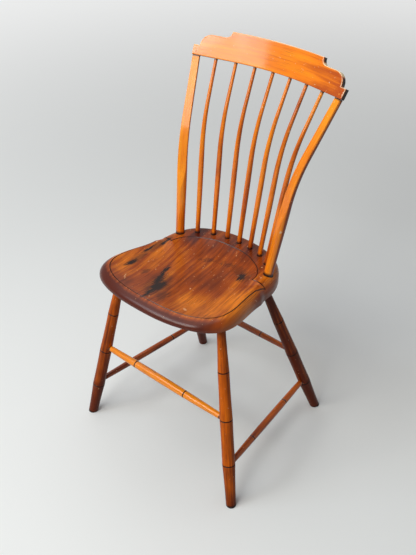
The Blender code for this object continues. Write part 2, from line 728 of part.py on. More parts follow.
def make_spindle(number, place, chair, material, sockets, mortises):
    knee = (SPINDLE_KNEE_HEIGHT, SPINDLE_KNEE_SHARE)
    rod = BackMember(place, SPINDLE_INSETS[abs(place)], knee, SPINDLE_SIDES, 0.0)
    sections = [rod.section(rod.socket_bottom(SOCKET_END_GAP), rod.lower, SPINDLE_BASE_RADIUS)]
    for centre, direction in rod.path():
        share = rod.share(centre)
        if share < SPINDLE_SWELL_AT:
            radius = lerp(SPINDLE_BASE_RADIUS, SPINDLE_SWELL_RADIUS, ease(share / SPINDLE_SWELL_AT))
        else:
            t = (share - SPINDLE_SWELL_AT) / (1.0 - SPINDLE_SWELL_AT)
            radius = lerp(SPINDLE_SWELL_RADIUS, SPINDLE_TOP_RADIUS, ease(t))
        sections.append(rod.section(centre, direction, radius))
    end = rod.top + rod.upper * (SPINDLE_MORTISE - SOCKET_END_GAP)
    sections.append(rod.section(end, rod.upper, SPINDLE_TOP_RADIUS))
    bm = bmesh.new()
    add_loft(bm, sections)
    bmesh.ops.translate(bm, verts=bm.verts, vec=-rod.base)
    finish(f"spindle_{number}", bm, material, chair, rod.base)
    rod.cut_socket(sockets, SPINDLE_BASE_RADIUS)
    rod.cut_mortise(mortises, SPINDLE_TOP_RADIUS, SPINDLE_MORTISE)


def make_stile(side_name, place, chair, materials, sockets, mortises, pin_holes):
    """A back post with its front shaved flat, a shoulder under the rail, and a pegged tenon in it."""
    knee = (STILE_KNEE_HEIGHT, STILE_KNEE_SHARE)
    rod = BackMember(place, STILE_INSET, knee, STILE_SIDES, STILE_TURN)
    sections = [rod.section(rod.socket_bottom(SOCKET_END_GAP), rod.lower, STILE_BASE_RADIUS)]
    for centre, direction in rod.path():
        share = rod.share(centre)
        if share < STILE_SWELL_AT:
            radius = lerp(STILE_BASE_RADIUS, STILE_SWELL_RADIUS, ease(share / STILE_SWELL_AT))
        else:
            t = (share - STILE_SWELL_AT) / (1.0 - STILE_SWELL_AT)
            radius = lerp(STILE_SWELL_RADIUS, STILE_TOP_RADIUS, t)
        shaved = ease((centre.z - STILE_FLAT_START) / (STILE_FLAT_FULL - STILE_FLAT_START))
        sections.append(rod.section(centre, direction, radius, lerp(radius, STILE_FLAT_REACH, shaved)))
    # The shoulder is cut parallel to the rail's lower edge, and the tenon starts on it
    normal = rod.along.cross(rod.back).normalized()
    shoulder = rod.top - normal * GAP

    def on_shoulder(points):
        slope = rod.upper.dot(normal)
        return [point + rod.upper * ((shoulder - point).dot(normal) / slope) for point in points]

    sections[-1] = on_shoulder(sections[-1])
    tenon = rod.section(rod.top, rod.upper, STILE_TENON_RADIUS)
    end = rod.upper * (STILE_TENON - SOCKET_END_GAP)
    sections += [on_shoulder(tenon), [point + end for point in tenon]]
    bm = bmesh.new()
    add_loft(bm, sections)
    bmesh.ops.translate(bm, verts=bm.verts, vec=-rod.base)
    stile_wood, pin_wood = materials
    stile = finish(f"stile_{side_name}", bm, stile_wood, chair, rod.base)
    rod.cut_socket(sockets, STILE_BASE_RADIUS)
    rod.cut_mortise(mortises, STILE_TENON_RADIUS, STILE_TENON)

    centre = rod.top + rod.upper * PIN_HEIGHT
    half = 0.5 * CREST_THICKNESS + PIN_PROUD
    pin = bmesh.new()
    turned(pin, [(-half, PIN_RADIUS), (half, PIN_RADIUS)], PIN_SIDES)
    finish(f"crest_pin_{side_name}", pin, pin_wood, chair, centre, rod.back)
    reach = rod.back * CREST_THICKNESS
    hole = bmesh.new()
    for cutters in (pin_holes, hole):
        add_socket(cutters, centre - reach, centre + reach, rod.back, PIN_RADIUS, PIN_SIDES)
    cut(stile, finish(f"stile_{side_name}_pin_hole", hole, None, chair))


def make_back(chair, sockets):
    mortises, pin_holes = bmesh.new(), bmesh.new()
    spindle_wood = wood("spindle_wood", (0.45, 0.14, 0.025), 0.32)
    for number, place in enumerate(range(-SPINDLES_EACH_SIDE, SPINDLES_EACH_SIDE + 1), start=1):
        make_spindle(number, place, chair, spindle_wood, sockets, mortises)
    stile_wood = wood("stile_wood", (0.42, 0.13, 0.022), 0.32)
    pin_wood = wood("pin_wood", (0.16, 0.05, 0.02), 0.5)
    for side_name, side in (("left", LEFT), ("right", RIGHT)):
        place = side * (SPINDLES_EACH_SIDE + 1)
        make_stile(side_name, place, chair, (stile_wood, pin_wood), sockets, mortises, pin_holes)
    make_crest(chair, mortises, pin_holes)


def make_chair():
    clear_scene()
    chair = bpy.data.objects.new("chair", None)
    bpy.context.scene.collection.objects.link(chair)
    chair.location.y = -CHAIR_CENTRE_Y
    sockets = bmesh.new()
    make_undercarriage(chair, sockets)
    make_back(chair, sockets)
    make_seat(chair, sockets)


make_chair()
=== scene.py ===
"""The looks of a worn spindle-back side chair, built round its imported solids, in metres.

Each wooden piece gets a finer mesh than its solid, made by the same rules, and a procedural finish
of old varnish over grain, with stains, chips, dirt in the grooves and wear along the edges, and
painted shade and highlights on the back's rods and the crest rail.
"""

import math

import bmesh
import bpy
import numpy as np
from mathutils import Matrix, Vector, kdtree


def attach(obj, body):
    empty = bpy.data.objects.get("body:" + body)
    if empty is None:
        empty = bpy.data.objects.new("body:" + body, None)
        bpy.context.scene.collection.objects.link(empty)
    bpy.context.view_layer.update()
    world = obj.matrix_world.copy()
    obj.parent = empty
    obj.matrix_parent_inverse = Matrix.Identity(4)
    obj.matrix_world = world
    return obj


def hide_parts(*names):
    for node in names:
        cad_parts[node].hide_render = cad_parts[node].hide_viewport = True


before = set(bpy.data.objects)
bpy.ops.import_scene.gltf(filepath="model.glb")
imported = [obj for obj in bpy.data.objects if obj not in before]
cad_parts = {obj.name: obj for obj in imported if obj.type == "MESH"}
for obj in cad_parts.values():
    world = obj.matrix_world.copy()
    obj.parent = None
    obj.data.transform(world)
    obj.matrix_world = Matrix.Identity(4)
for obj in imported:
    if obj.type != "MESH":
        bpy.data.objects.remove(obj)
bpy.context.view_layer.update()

LEFT, RIGHT = -1, 1
UP = Vector((0.0, 0.0, 1.0))
WHITE = (1.0, 1.0, 1.0)
BLACK = (0.0, 0.0, 0.0)

# Sizes of the solids, in the chair's drawing frame: Y = 0 is midway between front and rear feet
GAP = 0.0003
CHAIR_CENTRE_Y = 0.017
SEAT_HEIGHT = 0.440
SEAT_FALL = math.radians(4.0)
SEAT_THICKNESS = 0.040
SEAT_FRONT_REACH = 0.2068
SEAT_BACK_REACH = 0.1365
SEAT_SHOULDER_HALF_WIDTH = 0.1675
SEAT_SHOULDER_Y = -0.1155
SEAT_WAIST_HALF_WIDTH = 0.1525
SEAT_WAIST_Y = -0.012
SEAT_EAR_HALF_WIDTH = 0.1475
SEAT_EAR_Y = 0.011
FRONT_SQUARENESS = 2.45
BACK_SQUARENESS = 2.25
ROLL_RUN = (0.0250, 0.0240, 0.0110)
ROLL_DROP = (0.0162, 0.0250, 0.0135)
FLANK_DROP = (0.0167, 0.0350, 0.0260)
UNDER_BEVEL = (0.0350, 0.0070, 0.0140)
UNDER_ROUNDING = 0.9
EDGE_FRONT_ANGLE = math.radians(-64.5)
EDGE_BACK_ANGLE = math.radians(45.0)
DISH_DEPTH = 0.011
DISH_RUN_BACK = 0.070
DISH_RUN_FRONT = 0.105
SCRIBE_WIDTH = 0.0026
SCRIBE_DEPTH = 0.0014
SCRIBE_INSET_FRONT = 0.0232
SCRIBE_INSET_WAIST = 0.0125
SCRIBE_INSET_EAR = 0.0045
SCRIBE_DECK_INSET = 0.0525
SCRIBE_CUSP_INSET = 0.0355
SCRIBE_CORNER_ANGLE = math.radians(-55.0)
SCRIBE_CUT_ANGLE = math.radians(6.1)
SCRIBE_CUSP_END_ANGLE = math.radians(50.0)
# Powers that shape the sides of the ring grooves and of the scribed groove
RING_SHARPNESS = 1.4
SCRIBE_SHARPNESS = 1.3
SOCKET_WEB = 0.004
SOCKET_END_GAP = 0.0006
SOCKET_DEPTH = 0.5 * (SEAT_THICKNESS - SOCKET_WEB)

# Where a leg stands and meets the seat: foot x, foot y, direction, inset from the outline
FRONT_PLACING = (0.2173, -0.1804, math.radians(-40.3), 0.0447)
REAR_PLACING = (0.1805, 0.1804, math.radians(19.0), 0.0380)
LEG_END_RADIUS = 0.0108
LEG_RING_HEIGHTS = (0.105, 0.2140, 0.3245)
LEG_RING_RADII = (0.0139, 0.0136, 0.0119)
LEG_SEAT_RADIUS = 0.0089
LEG_WAISTING = 0.0005
RING_WIDTH = 0.0026
RING_DEPTH = 0.0013
STRETCHER_RING_DEPTH = 0.0010
FRONT_LEFT_TRIM = 0.0127
REAR_RIGHT_TRIM = 0.0062
STRETCHER_TENON = 0.011
# Stretchers: height, end and middle radius, places of the rings as shares of the length
FRONT_STRETCHER = (0.2056, (0.0064, 0.0089), (0.272, 0.680))
REAR_STRETCHER = (0.1993, (0.0060, 0.0072), (0.288, 0.710))
SIDE_STRETCHER = (0.0979, (0.0060, 0.0076), (0.288, 0.710))

# Bent rods of the back: knees (height, share of the spread), radii at the seat, swell and rail
SPINDLES_EACH_SIDE = 3
BACK_STEP_ANGLE = math.radians(16.9)
SPINDLE_INSETS = (0.0295, 0.0298, 0.0292, 0.0263)
STILE_INSET = 0.0184
CREST_STEP = 0.0442
SPINDLE_KNEE = (0.672, 0.53)
STILE_KNEE = (0.641, 0.37)
KNEE_REACH = 0.055
SPINDLE_RADII = (0.0051, 0.0058, 0.0036)
SPINDLE_SWELL_AT = 0.35
STILE_RADII = (0.0096, 0.0108, 0.0082)
STILE_SWELL_AT = 0.40
STILE_TURN = math.radians(20.0)
STILE_FLAT_START = 0.530
STILE_FLAT_FULL = 0.600
STILE_FLAT_REACH = 0.0035
SPINDLE_MORTISE = 0.014
STILE_TENON = 0.015
STILE_TENON_RADIUS = 0.0036

CREST_HEIGHT = 0.7878
CREST_Y = 0.210
CREST_RADIUS = 0.4157
CREST_BENT_HALF_WIDTH = 0.108
CREST_LIFT = 0.11
CREST_LEAN_MIDDLE = math.radians(26.0)
CREST_LEAN_END = math.radians(31.0)
CREST_FLARE = 0.13
CREST_THICKNESS = 0.0108
CREST_OVERHANG = 0.0090
CREST_HALF_WIDTH = CREST_STEP * (SPINDLES_EACH_SIDE + 1) + CREST_OVERHANG
CREST_END_WIDTH = 0.0130
CREST_END_HEIGHT = 0.0207
CREST_SHOULDER_HEIGHT = 0.0455
CREST_TABLET_HEIGHT = 0.0588
CREST_TABLET_HALF_WIDTH = 0.1087
CREST_COVE_RADIUS = 0.0125
CREST_EDGE_ROUND = 0.0016
PIN_RADIUS = 0.0016
PIN_HEIGHT = 0.0075
PIN_PROUD = 0.0003

# How finely the shapes are meshed
OUTLINE_STEPS = 200
HALF_TURN_COLUMNS = 220
CUT_COLUMNS = np.array([-1.5, -1.0, -0.6, -0.25, 0.0, 0.25, 0.6, 1.0, 1.5])
CUT_CLEARANCE = 1.8
SCRIBE_STEPS = (160, 120)
# Rows within the inner line, between the two lines and out to the roll
SEAT_ROWS = (34, 18, 8)
SEAT_CROWDING = 0.85
ROLL_ROWS = 26
ROLL_STEEPEST = math.radians(68.0)
ROLL_LEAST_ROOM = 0.12
BEVEL_ROWS = 16
UNDERSIDE_SHARES = np.array([0.99, 0.95, 0.85, 0.7, 0.5, 0.3, 0.12])
LEG_SIDES = 56
STRETCHER_SIDES = 44
STILE_SIDES = 56
SPINDLE_SIDES = 32
SOCKET_SIDES = 64
PIN_SIDES = 24
ROW_STEP = 0.0022
RING_ROWS = np.linspace(-1.5, 1.5, 17)
RING_CLEARANCE = 1.6
# Inset and distance of the rows that round the edge of a leg's sole
SOLE_ROWS = ((0.0012, 0.0), (0.0005, 0.0003), (0.0, 0.0010))
SHEARED_ROWS = 10
SHEARED_END = 0.02
# Rows of a bent rod below its knee, across it and above it
ROD_ROWS = (40, 30, 24)
CREST_CURVE_STEPS = 14
CREST_EDGE_SEGMENTS = 4
CREST_SLICES = 150
CREST_ROWS = 20
CREST_DEPTH_ROWS = (0.0022, 0.0030, 0.0054, 0.0078)
ROUND_ANGLE = math.radians(40.0)
PIN_EDGE = 0.0002
PIN_FIT = 0.0002
TINY = 1e-12

# Where dirt and wear gather, and where shade and highlights are painted on
RING_DIRT_REACH = 0.0030
RING_LIP_WEAR = 0.4
RING_LIP_PLACE = 0.0022
RING_LIP_REACH = 0.0010
END_DIRT = 0.9
STRETCHER_END_REACH = 0.006
LEG_TOP_REACH = 0.012
LEG_FOOT_REACH = 0.010
UPPER_DROP = 0.030
UPPER_FADE = 0.008
SCRIBE_DIRT_REACH = 0.0026
SCRIBE_DIRT = 0.85
SCRIBE_LIP_PLACE = 0.0022
SCRIBE_LIP_REACH = 0.0014
SCRIBE_LIP_WEAR = 0.40
SCRIBE_LIP_END = 0.070
# The seat's underside, up to this far above its bottom plane, is darker by this tone
UNDER_TONE_DEPTH = 0.002
UNDER_TONE = -0.35
ROD_DIRT_REACH = 0.0024
# Painted shade on the side of each bent rod that faces away from its front: where it starts, and
# how much further back it is full
ROD_SHADE_START = 0.0025
ROD_SHADE_FADE = 0.0035
ROD_FOOT_DIRT = 0.010
ROD_TOP_DIRT = 0.006
SEAT_GRAIN_SLANT = 0.16
SEAT_GRAIN_DEPTH = 0.12
SEAT_ROLL_START = 0.002
SEAT_ROLL_FADE = 0.012
SEAT_ROLL_TONE = -0.42
SEAT_ROLL_DARK_END = 0.170
SEAT_ROLL_DARK_FADE = 0.030
SEAT_ROLL_CALM = 0.85
CREST_EDGE_REACH = 0.0024
CREST_ARRIS_REACH = 0.0014
# On the crest rail the edges that face up are made pale, partly as wear and partly as a painted
# highlight, and its other edges away from the front face get a painted shade; the last two numbers
# say how far up an edge must face
TOP_EDGE_WEAR_AND_HIGHLIGHT = 0.8
LOW_EDGE_WEAR = 0.25
CREST_TOP_START = 0.55
CREST_TOP_FADE = 0.25

# Tones by place, lighter above 0: crest rail by X, leg by distance from the floor, back's rods by
# share of their length
CREST_TONE = ([-0.18, -0.05, 0.05, 0.12, 0.16, 0.18], [0.05, 0.10, 0.04, -0.14, -0.28, -0.50])
LEG_TONE = ([0.0, 0.10, 0.11, 0.21, 0.22, 0.36, 0.44], [-0.25, -0.15, 0.0, 0.0, 0.10, 0.05, -0.15])
SPINDLE_TONE = ([0.0, 0.25, 1.0], [-0.26, -0.06, 0.04])
# Painted shade: how much darker the back of each spindle is
SPINDLE_BACK_SHADE = -0.16
STILE_TONE = ([0.0, 0.25, 1.0], [0.05, 0.22, 0.30])
# Painted shade: how much darker the back of each back post is
STILE_BACK_SHADE = -0.60
# Legs: name, placing, side, how much shorter the foot is, tone of its own
LEGS = (
    ("front_left", FRONT_PLACING, LEFT, FRONT_LEFT_TRIM, -0.24),
    ("front_right", FRONT_PLACING, RIGHT, 0.0, -0.05),
    ("rear_left", REAR_PLACING, LEFT, 0.0, -0.35),
    ("rear_right", REAR_PLACING, RIGHT, REAR_RIGHT_TRIM, -0.36),
)
# Stretchers: name, the legs they join, shape, tone
STRETCHERS = (
    ("front", ("front_left", "front_right"), FRONT_STRETCHER, 0.45),
    ("rear", ("rear_left", "rear_right"), REAR_STRETCHER, -0.20),
    ("left", ("front_left", "rear_left"), SIDE_STRETCHER, -0.29),
    ("right", ("front_right", "rear_right"), SIDE_STRETCHER, -0.17),
)
# Each piece has a number that sets its own place in the noise: the first number of each kind
STRETCHER_NUMBER, LEG_NUMBER, SPINDLE_NUMBER, PIN_NUMBER, STILE_NUMBER = 0, 10, 21, 30, 32
NUMBER_STEP = np.array([0.37, 0.23, 0.71])

# Patches of the seat's top (x, y, reach, tone)
SEAT_PATCHES = (
    (0.120, -0.110, 0.050, 0.36),
    (0.062, -0.122, 0.030, 0.22),
    (0.142, -0.050, 0.030, 0.25),
    (-0.135, -0.085, 0.040, 0.32),
    (-0.060, -0.020, 0.050, 0.15),
    (-0.108, -0.140, 0.028, 0.30),
    (0.000, 0.072, 0.045, -0.25),
    (-0.060, 0.050, 0.040, -0.15),
    (-0.100, 0.092, 0.050, -0.20),
    (0.078, 0.092, 0.045, -0.05),
    (0.055, -0.052, 0.040, -0.15),
    (-0.110, -0.187, 0.045, -0.25),
    (0.020, 0.118, 0.045, -0.15),
    (0.158, -0.060, 0.035, 0.30),
    (0.135, 0.045, 0.030, 0.28),
)
# Marks on the seat's top (x, y, half length, half width, turn)
BLACK_STAINS = (
    (-0.018, -0.128, 0.034, 0.0165, 0.12),
    (-0.034, -0.112, 0.028, 0.0110, 0.45),
    (-0.048, -0.080, 0.032, 0.0055, 0.35),
    (-0.012, -0.158, 0.030, 0.0065, 0.25),
    (-0.118, -0.104, 0.018, 0.0075, 0.0),
    (-0.127, -0.044, 0.022, 0.0034, 0.02),
    (-0.121, 0.002, 0.022, 0.0042, -0.02),
    (0.085, 0.013, 0.022, 0.0095, 0.62),
)
FAINT_STAINS = (
    (-0.120, -0.080, 0.026, 0.0080, 0.0),
    (-0.124, -0.020, 0.050, 0.0090, 0.0),
    (-0.077, -0.104, 0.016, 0.0060, 0.1),
    (0.080, 0.020, 0.034, 0.0150, 1.1),
    (-0.012, 0.018, 0.026, 0.0040, -1.1),
    (0.030, 0.031, 0.024, 0.0040, -1.35),
    (-0.022, -0.125, 0.056, 0.0260, 0.3),
    (0.015, -0.150, 0.030, 0.0100, 0.3),
)
PALE_CHIPS = (
    (-0.135, -0.011, 0.0030, 0.0018, 0.0),
    (0.033, -0.088, 0.0028, 0.0014, 0.3),
    (0.000, -0.171, 0.0030, 0.0014, 0.4),
    (-0.090, -0.150, 0.0090, 0.0010, 0.5),
    (-0.084, -0.156, 0.0070, 0.0008, 0.7),
    (0.080, -0.155, 0.0060, 0.0030, 1.2),
    (0.121, 0.029, 0.0026, 0.0018, 0.0),
    (0.024, 0.108, 0.0026, 0.0018, 0.2),
    (0.098, 0.062, 0.0026, 0.0018, 0.0),
    (0.075, 0.012, 0.0026, 0.0012, 0.2),
)
# Chips on the back's rods (x, y, z, reach)
ROD_CHIPS = (
    (0.0846, 0.1578, 0.7044, 0.0050),
    (0.0720, 0.1035, 0.5023, 0.0042),
    (0.1407, 0.0644, 0.5383, 0.0060),
)
# Where a spot starts and is full, as shares of its half length and half width
SPOT_OUTER = 1.25
SPOT_INNER = 0.50

# Noises: stretch (across, across, along) per metre and detail, then how far a warp pushes
STAIN_WARP = ((420.0, 70.0, 90.0), 3.0)
STAIN_WARP_REACH = (0.009, 0.050, 0.0)
CHIP_WARP = ((500.0, 400.0, 400.0), 3.0)
CHIP_WARP_REACH = (0.002, 0.002, 0.0)
PATCH_NOISE = ((26.0, 26.0, 11.0), 3.0)
STREAK_NOISE = ((150.0, 150.0, 6.0), 4.0)
LINE_NOISE = ((900.0, 900.0, 22.0), 3.0)
PORE_NOISE = ((2600.0, 2600.0, 150.0), 1.0)
SPECK_NOISE = ((260.0, 260.0, 150.0), 2.0)
NOISE_MIDDLE = 0.5

# Finishes: roughness, fine lines, gloss, patches, streaks, then dark, middle, light, worn colour,
# which also paints the crest's highlight
FINISHES = {
    "leg": (
        0.36, 0.6, 0.22, 0.7, 0.9,
        (0.16, 0.020, 0.001), (0.68, 0.125, 0.001), (0.95, 0.240, 0.004), (0.75, 0.42, 0.20)),
    "seat": (
        0.36, 0.7, 0.60, 0.9, 0.8,
        (0.085, 0.009, 0.001), (0.34, 0.056, 0.001), (0.76, 0.200, 0.006), (0.75, 0.40, 0.18)),
    "stretcher": (
        0.32, 0.5, 0.75, 0.7, 0.8,
        (0.20, 0.025, 0.001), (0.74, 0.140, 0.003), (1.00, 0.290, 0.008), (0.85, 0.50, 0.24)),
    "back": (
        0.30, 0.4, 0.66, 1.0, 1.1,
        (0.36, 0.050, 0.001), (0.84, 0.200, 0.003), (1.00, 0.320, 0.010), (0.90, 0.56, 0.28)),
    # The crest's pale worn colour is also the painted highlight on its up-facing edges
    "crest": (
        0.28, 0.6, 0.78, 0.7, 1.2,
        (0.50, 0.080, 0.001), (0.93, 0.218, 0.001), (1.00, 0.300, 0.002), (0.98, 0.74, 0.42)),
    "pin": (
        0.40, 0.5, 0.8, 0.6, 0.6,
        (0.50, 0.110, 0.004), (0.80, 0.230, 0.012), (0.95, 0.300, 0.030), (0.80, 0.45, 0.20)),
}
# Colour of dirt and stains, and of the painted shade on the crest's edges
GRIME_AND_SHADE_COLOUR = (0.016, 0.006, 0.004)
COLOUR_PLACES = (0.12, 0.5, 0.9)
MIDDLE_LEVEL = 0.5
FINE_LINES = (0.52, 0.70)
SPECKS = (0.715, 0.74)
SPECK_SHARE = 0.6
FAINT_STAIN_SHARE = 0.55
CHIP_SHARE = 0.85
# How ragged the edge of a mark is, and where it starts and is full
WEAR_AND_HIGHLIGHT_EDGE = (0.9, 0.25, 0.85)
DIRT_AND_SHADE_EDGE = (0.5, 0.15, 0.9)
MARK_START = (0.0, 0.2)
# Roughness added by patch, grime and painted shade, bare wood and painted highlight, and fine
# line, and relief of line, pore, streak, bare wood and painted highlight, and grime and painted
# shade
ROUGH_SHARES = (0.16, 0.22, 0.18, 0.08)
ROUGH_OFFSET = -0.08
RELIEF_SHARES = (0.5, 0.3, 0.5, -0.3, 0.25)
BUMP_STRENGTH = 0.35
BUMP_DISTANCE = 0.0004
SPECULAR_SHARE = 0.12
COAT_ROUGHNESS = 0.13
SEAT_COAT_ROUGHNESS = 0.24
COAT_IOR = 1.5

# Studio
FLOOR_REACH = 9.0
FLOOR_COLOUR = (0.86, 0.86, 0.85)
FLOOR_BOUNCE = (0.22, 0.22, 0.22)
FLOOR_ROUGHNESS = 0.9
FLOOR_SPECULAR = 0.1
FLOOR_FADE = (0.9, 4.0)
FLOOR_FAR_GLOW = 0.6
WORLD_STRENGTH = 0.12
BACKDROP_STRENGTH = 0.45
# Lamps: name, place, aim, size, radiance, colour
LAMPS = (
    ("overhead", (-0.7, -0.15, 2.6), (-0.7, -0.15, 0.0), (2.8, 2.9), 1.15, (0.97, 0.99, 1.0)),
    ("front", (-0.36, -2.57, 2.36), (0.0, 0.1, 0.75), (2.65, 1.0), 5.6, (1.0, 0.97, 0.87)),
    ("left", (-1.75, -2.35, 3.12), (0.0, 0.0, 0.5), (1.8, 1.1), 5.0, (0.80, 0.90, 1.0)),
    ("sky", (0.35, -2.30, 2.85), (0.05, -0.2, 0.43), (1.5, 0.8), 6.5, (0.88, 0.95, 1.0)),
)
# Camera: turn about Z, tilt about X and roll in degrees, focal length in the photo's pixels
CAMERA_PLACE = (0.9187, -1.0254, 1.4036)
CAMERA_ANGLES = (41.78, 53.86, -1.09)
CAMERA_FOCUS = 801.92
PHOTO_HEIGHT = 555.0
SENSOR_HEIGHT = 24.0
CLIP_START = 0.05


def lerp(a, b, t):
    return a + (b - a) * t


def unit(value):
    return np.clip(value, 0.0, 1.0)


def ease(t):
    """Smooth step from 0 to 1 as t goes from 0 to 1, for a number or an array."""
    t = unit(t)
    return t * t * (3.0 - 2.0 * t)


def between(rows):
    """Even shares from 0 to 1 for this many rows, without the two end ones."""
    return np.linspace(0.0, 1.0, rows)[1:-1]


# Meshes


def grid_mesh(name, grid, caps=None):
    """A closed mesh through rows of points that each go once round, with a fan at each end."""
    grid = np.asarray(grid)
    if caps is None:
        caps = [grid[0].mean(axis=0), grid[-1].mean(axis=0)]
    rows, sides, _ = grid.shape
    ring = np.arange(sides)
    after = (ring + 1) % sides
    start = np.arange(rows - 1)[:, None] * sides
    end = start + sides
    quads = np.stack([start + ring, start + after, end + after, end + ring], axis=-1)
    count = rows * sides
    last = count - sides
    bottom = np.stack([np.full(sides, count), after, ring], axis=-1)
    top = np.stack([np.full(sides, count + 1), last + ring, last + after], axis=-1)
    points = np.concatenate([grid.reshape(-1, 3), np.array(caps)])
    mesh = bpy.data.meshes.new(name)
    faces = quads.reshape(-1, 4).tolist() + bottom.tolist() + top.tolist()
    mesh.from_pydata(points.tolist(), [], faces)
    mesh.validate()
    return mesh


def link_object(name, data):
    obj = bpy.data.objects.new(name, data)
    bpy.context.scene.collection.objects.link(obj)
    return obj


def add_object(name, mesh, origin=Vector((0.0, 0.0, 0.0)), axis=None):
    """Puts a mesh into the scene, with its local Z along an axis if one is given."""
    obj = link_object(name, mesh)
    obj.location = origin - Vector((0.0, CHAIR_CENTRE_Y, 0.0))
    if axis is not None:
        obj.rotation_mode = "QUATERNION"
        obj.rotation_quaternion = UP.rotation_difference(axis)
    return obj


def carve(obj, cutters):
    """Cuts closed shapes out of an object, and keeps only the result."""
    bpy.context.view_layer.update()
    for cutter in cutters:
        modifier = obj.modifiers.new(cutter.name, "BOOLEAN")
        modifier.operation = "DIFFERENCE"
        modifier.solver = "EXACT"
        modifier.object = cutter
    evaluated = obj.evaluated_get(bpy.context.evaluated_depsgraph_get())
    carved = bpy.data.meshes.new_from_object(evaluated)
    obj.modifiers.clear()
    whole, obj.data = obj.data, carved
    bpy.data.meshes.remove(whole)
    for cutter in cutters:
        mesh = cutter.data
        bpy.data.objects.remove(cutter)
        bpy.data.meshes.remove(mesh)


def once_round(sides):
    """Cosines and sines of even steps once round."""
    angles = np.arange(sides) * 2.0 * math.pi / sides
    return np.cos(angles), np.sin(angles)


def round_section(centre, across, front, radius, sides, flat=math.inf):
    """Points of a round section, with its front cut off flat at a distance if one is given."""
    cosines, sines = once_round(sides)
    forward = np.minimum(radius * sines, flat)
    return np.array(centre) + np.outer(radius * cosines, across) + np.outer(forward, front)


def socket_cutter(start, end, radius):
    """A round cutter between two points, with the gap round it."""
    axis = (end - start).normalized()
    across = axis.orthogonal().normalized()
    front = axis.cross(across)
    radius += GAP
    ends = [round_section(point, across, front, radius, SOCKET_SIDES) for point in (start, end)]
    return add_object("cutter", grid_mesh("cutter", ends))


def turned_mesh(name, along, radii, sides):
    """A round piece about its local Z, through rows of radii at distances that may slant."""
    cosines, sines = once_round(sides)
    radii = np.reshape(radii, (-1, 1))
    along = np.reshape(along, (len(radii), -1))
    points = np.broadcast_arrays(radii * cosines, radii * sines, along)
    return grid_mesh(name, np.stack(points, axis=-1))


def along_rows(start, end, rings):
    """Distances along a turned piece: even steps, with close ones across each ring groove."""
    half = 0.5 * RING_WIDTH
    even = np.linspace(start, end, round((end - start) / ROW_STEP))
    clear = [np.abs(even - ring) > RING_CLEARANCE * half for ring in rings]
    close = [ring + half * RING_ROWS for ring in rings]
    return np.sort(np.concatenate([even[np.all(clear, axis=0)], *close]))


def ring_groove(distances, rings, depth):
    """How deep the ring grooves are at each distance, with soft lips and a narrow bottom."""
    drop = np.zeros_like(distances)
    for ring in rings:
        drop += depth * unit(1.0 - np.abs(distances - ring) / (0.5 * RING_WIDTH)) ** RING_SHARPNESS
    return drop


# Seat


def half_outline():
    """Directions and distances of the right half of the outline, from the front to the back."""
    t = np.linspace(0.0, 1.0, OUTLINE_STEPS, endpoint=False)
    angle = 0.5 * math.pi * t
    front_depth = SEAT_FRONT_REACH + SEAT_SHOULDER_Y
    back_depth = SEAT_BACK_REACH - SEAT_EAR_Y
    last = np.append(angle, 0.5 * math.pi)
    x = np.concatenate([
        SEAT_SHOULDER_HALF_WIDTH * np.sin(angle) ** (2.0 / FRONT_SQUARENESS),
        lerp(SEAT_SHOULDER_HALF_WIDTH, SEAT_WAIST_HALF_WIDTH, ease(t)),
        lerp(SEAT_WAIST_HALF_WIDTH, SEAT_EAR_HALF_WIDTH, ease(t)),
        SEAT_EAR_HALF_WIDTH * np.maximum(0.0, np.cos(last)) ** (2.0 / BACK_SQUARENESS),
    ])
    y = np.concatenate([
        SEAT_SHOULDER_Y - front_depth * np.cos(angle) ** (2.0 / FRONT_SQUARENESS),
        lerp(SEAT_SHOULDER_Y, SEAT_WAIST_Y, t),
        lerp(SEAT_WAIST_Y, SEAT_EAR_Y, t),
        SEAT_EAR_Y + back_depth * np.sin(last) ** (2.0 / BACK_SQUARENESS),
    ])
    return np.arctan2(y, x), np.hypot(x, y)


OUTLINE = half_outline()
WAIST_ANGLE = math.atan2(SEAT_WAIST_Y, SEAT_WAIST_HALF_WIDTH)


def outline_radius(angle):
    return np.interp(angle, OUTLINE[0], OUTLINE[1])


def round_the_edge(values, angle):
    """Blends an edge size from its front value to the side's and on to the back's."""
    front, side, back = values
    to_side = ease((angle - EDGE_FRONT_ANGLE) / (WAIST_ANGLE - EDGE_FRONT_ANGLE))
    to_back = ease((angle - SCRIBE_CUT_ANGLE) / (EDGE_BACK_ANGLE - SCRIBE_CUT_ANGLE))
    return lerp(lerp(front, side, to_side), back, to_back)


def scribe_front_radius(angle):
    to_waist = ease((angle - SCRIBE_CORNER_ANGLE) / (WAIST_ANGLE - SCRIBE_CORNER_ANGLE))
    to_ear = unit((angle - WAIST_ANGLE) / (SCRIBE_CUT_ANGLE - WAIST_ANGLE))
    inset = lerp(SCRIBE_INSET_FRONT, SCRIBE_INSET_WAIST, to_waist)
    return outline_radius(angle) - lerp(inset, SCRIBE_INSET_EAR, to_ear)


def scribe_back_radius(angle):
    t = (angle - SCRIBE_CUT_ANGLE) / (SCRIBE_CUSP_END_ANGLE - SCRIBE_CUT_ANGLE)
    return outline_radius(angle) - lerp(SCRIBE_CUSP_INSET, SCRIBE_DECK_INSET, ease(t))


def scribed_line():
    """Plan points of the right half of the scribed line, from the front round to the back."""
    front = np.linspace(-0.5 * math.pi, SCRIBE_CUT_ANGLE, SCRIBE_STEPS[0])
    back = np.linspace(SCRIBE_CUT_ANGLE, 0.5 * math.pi, SCRIBE_STEPS[1])
    radius = np.concatenate([scribe_front_radius(front), scribe_back_radius(back)])
    angle = np.concatenate([front, back])
    return np.stack([radius * np.cos(angle), radius * np.sin(angle)], axis=-1)


SCRIBED_LINE = scribed_line()


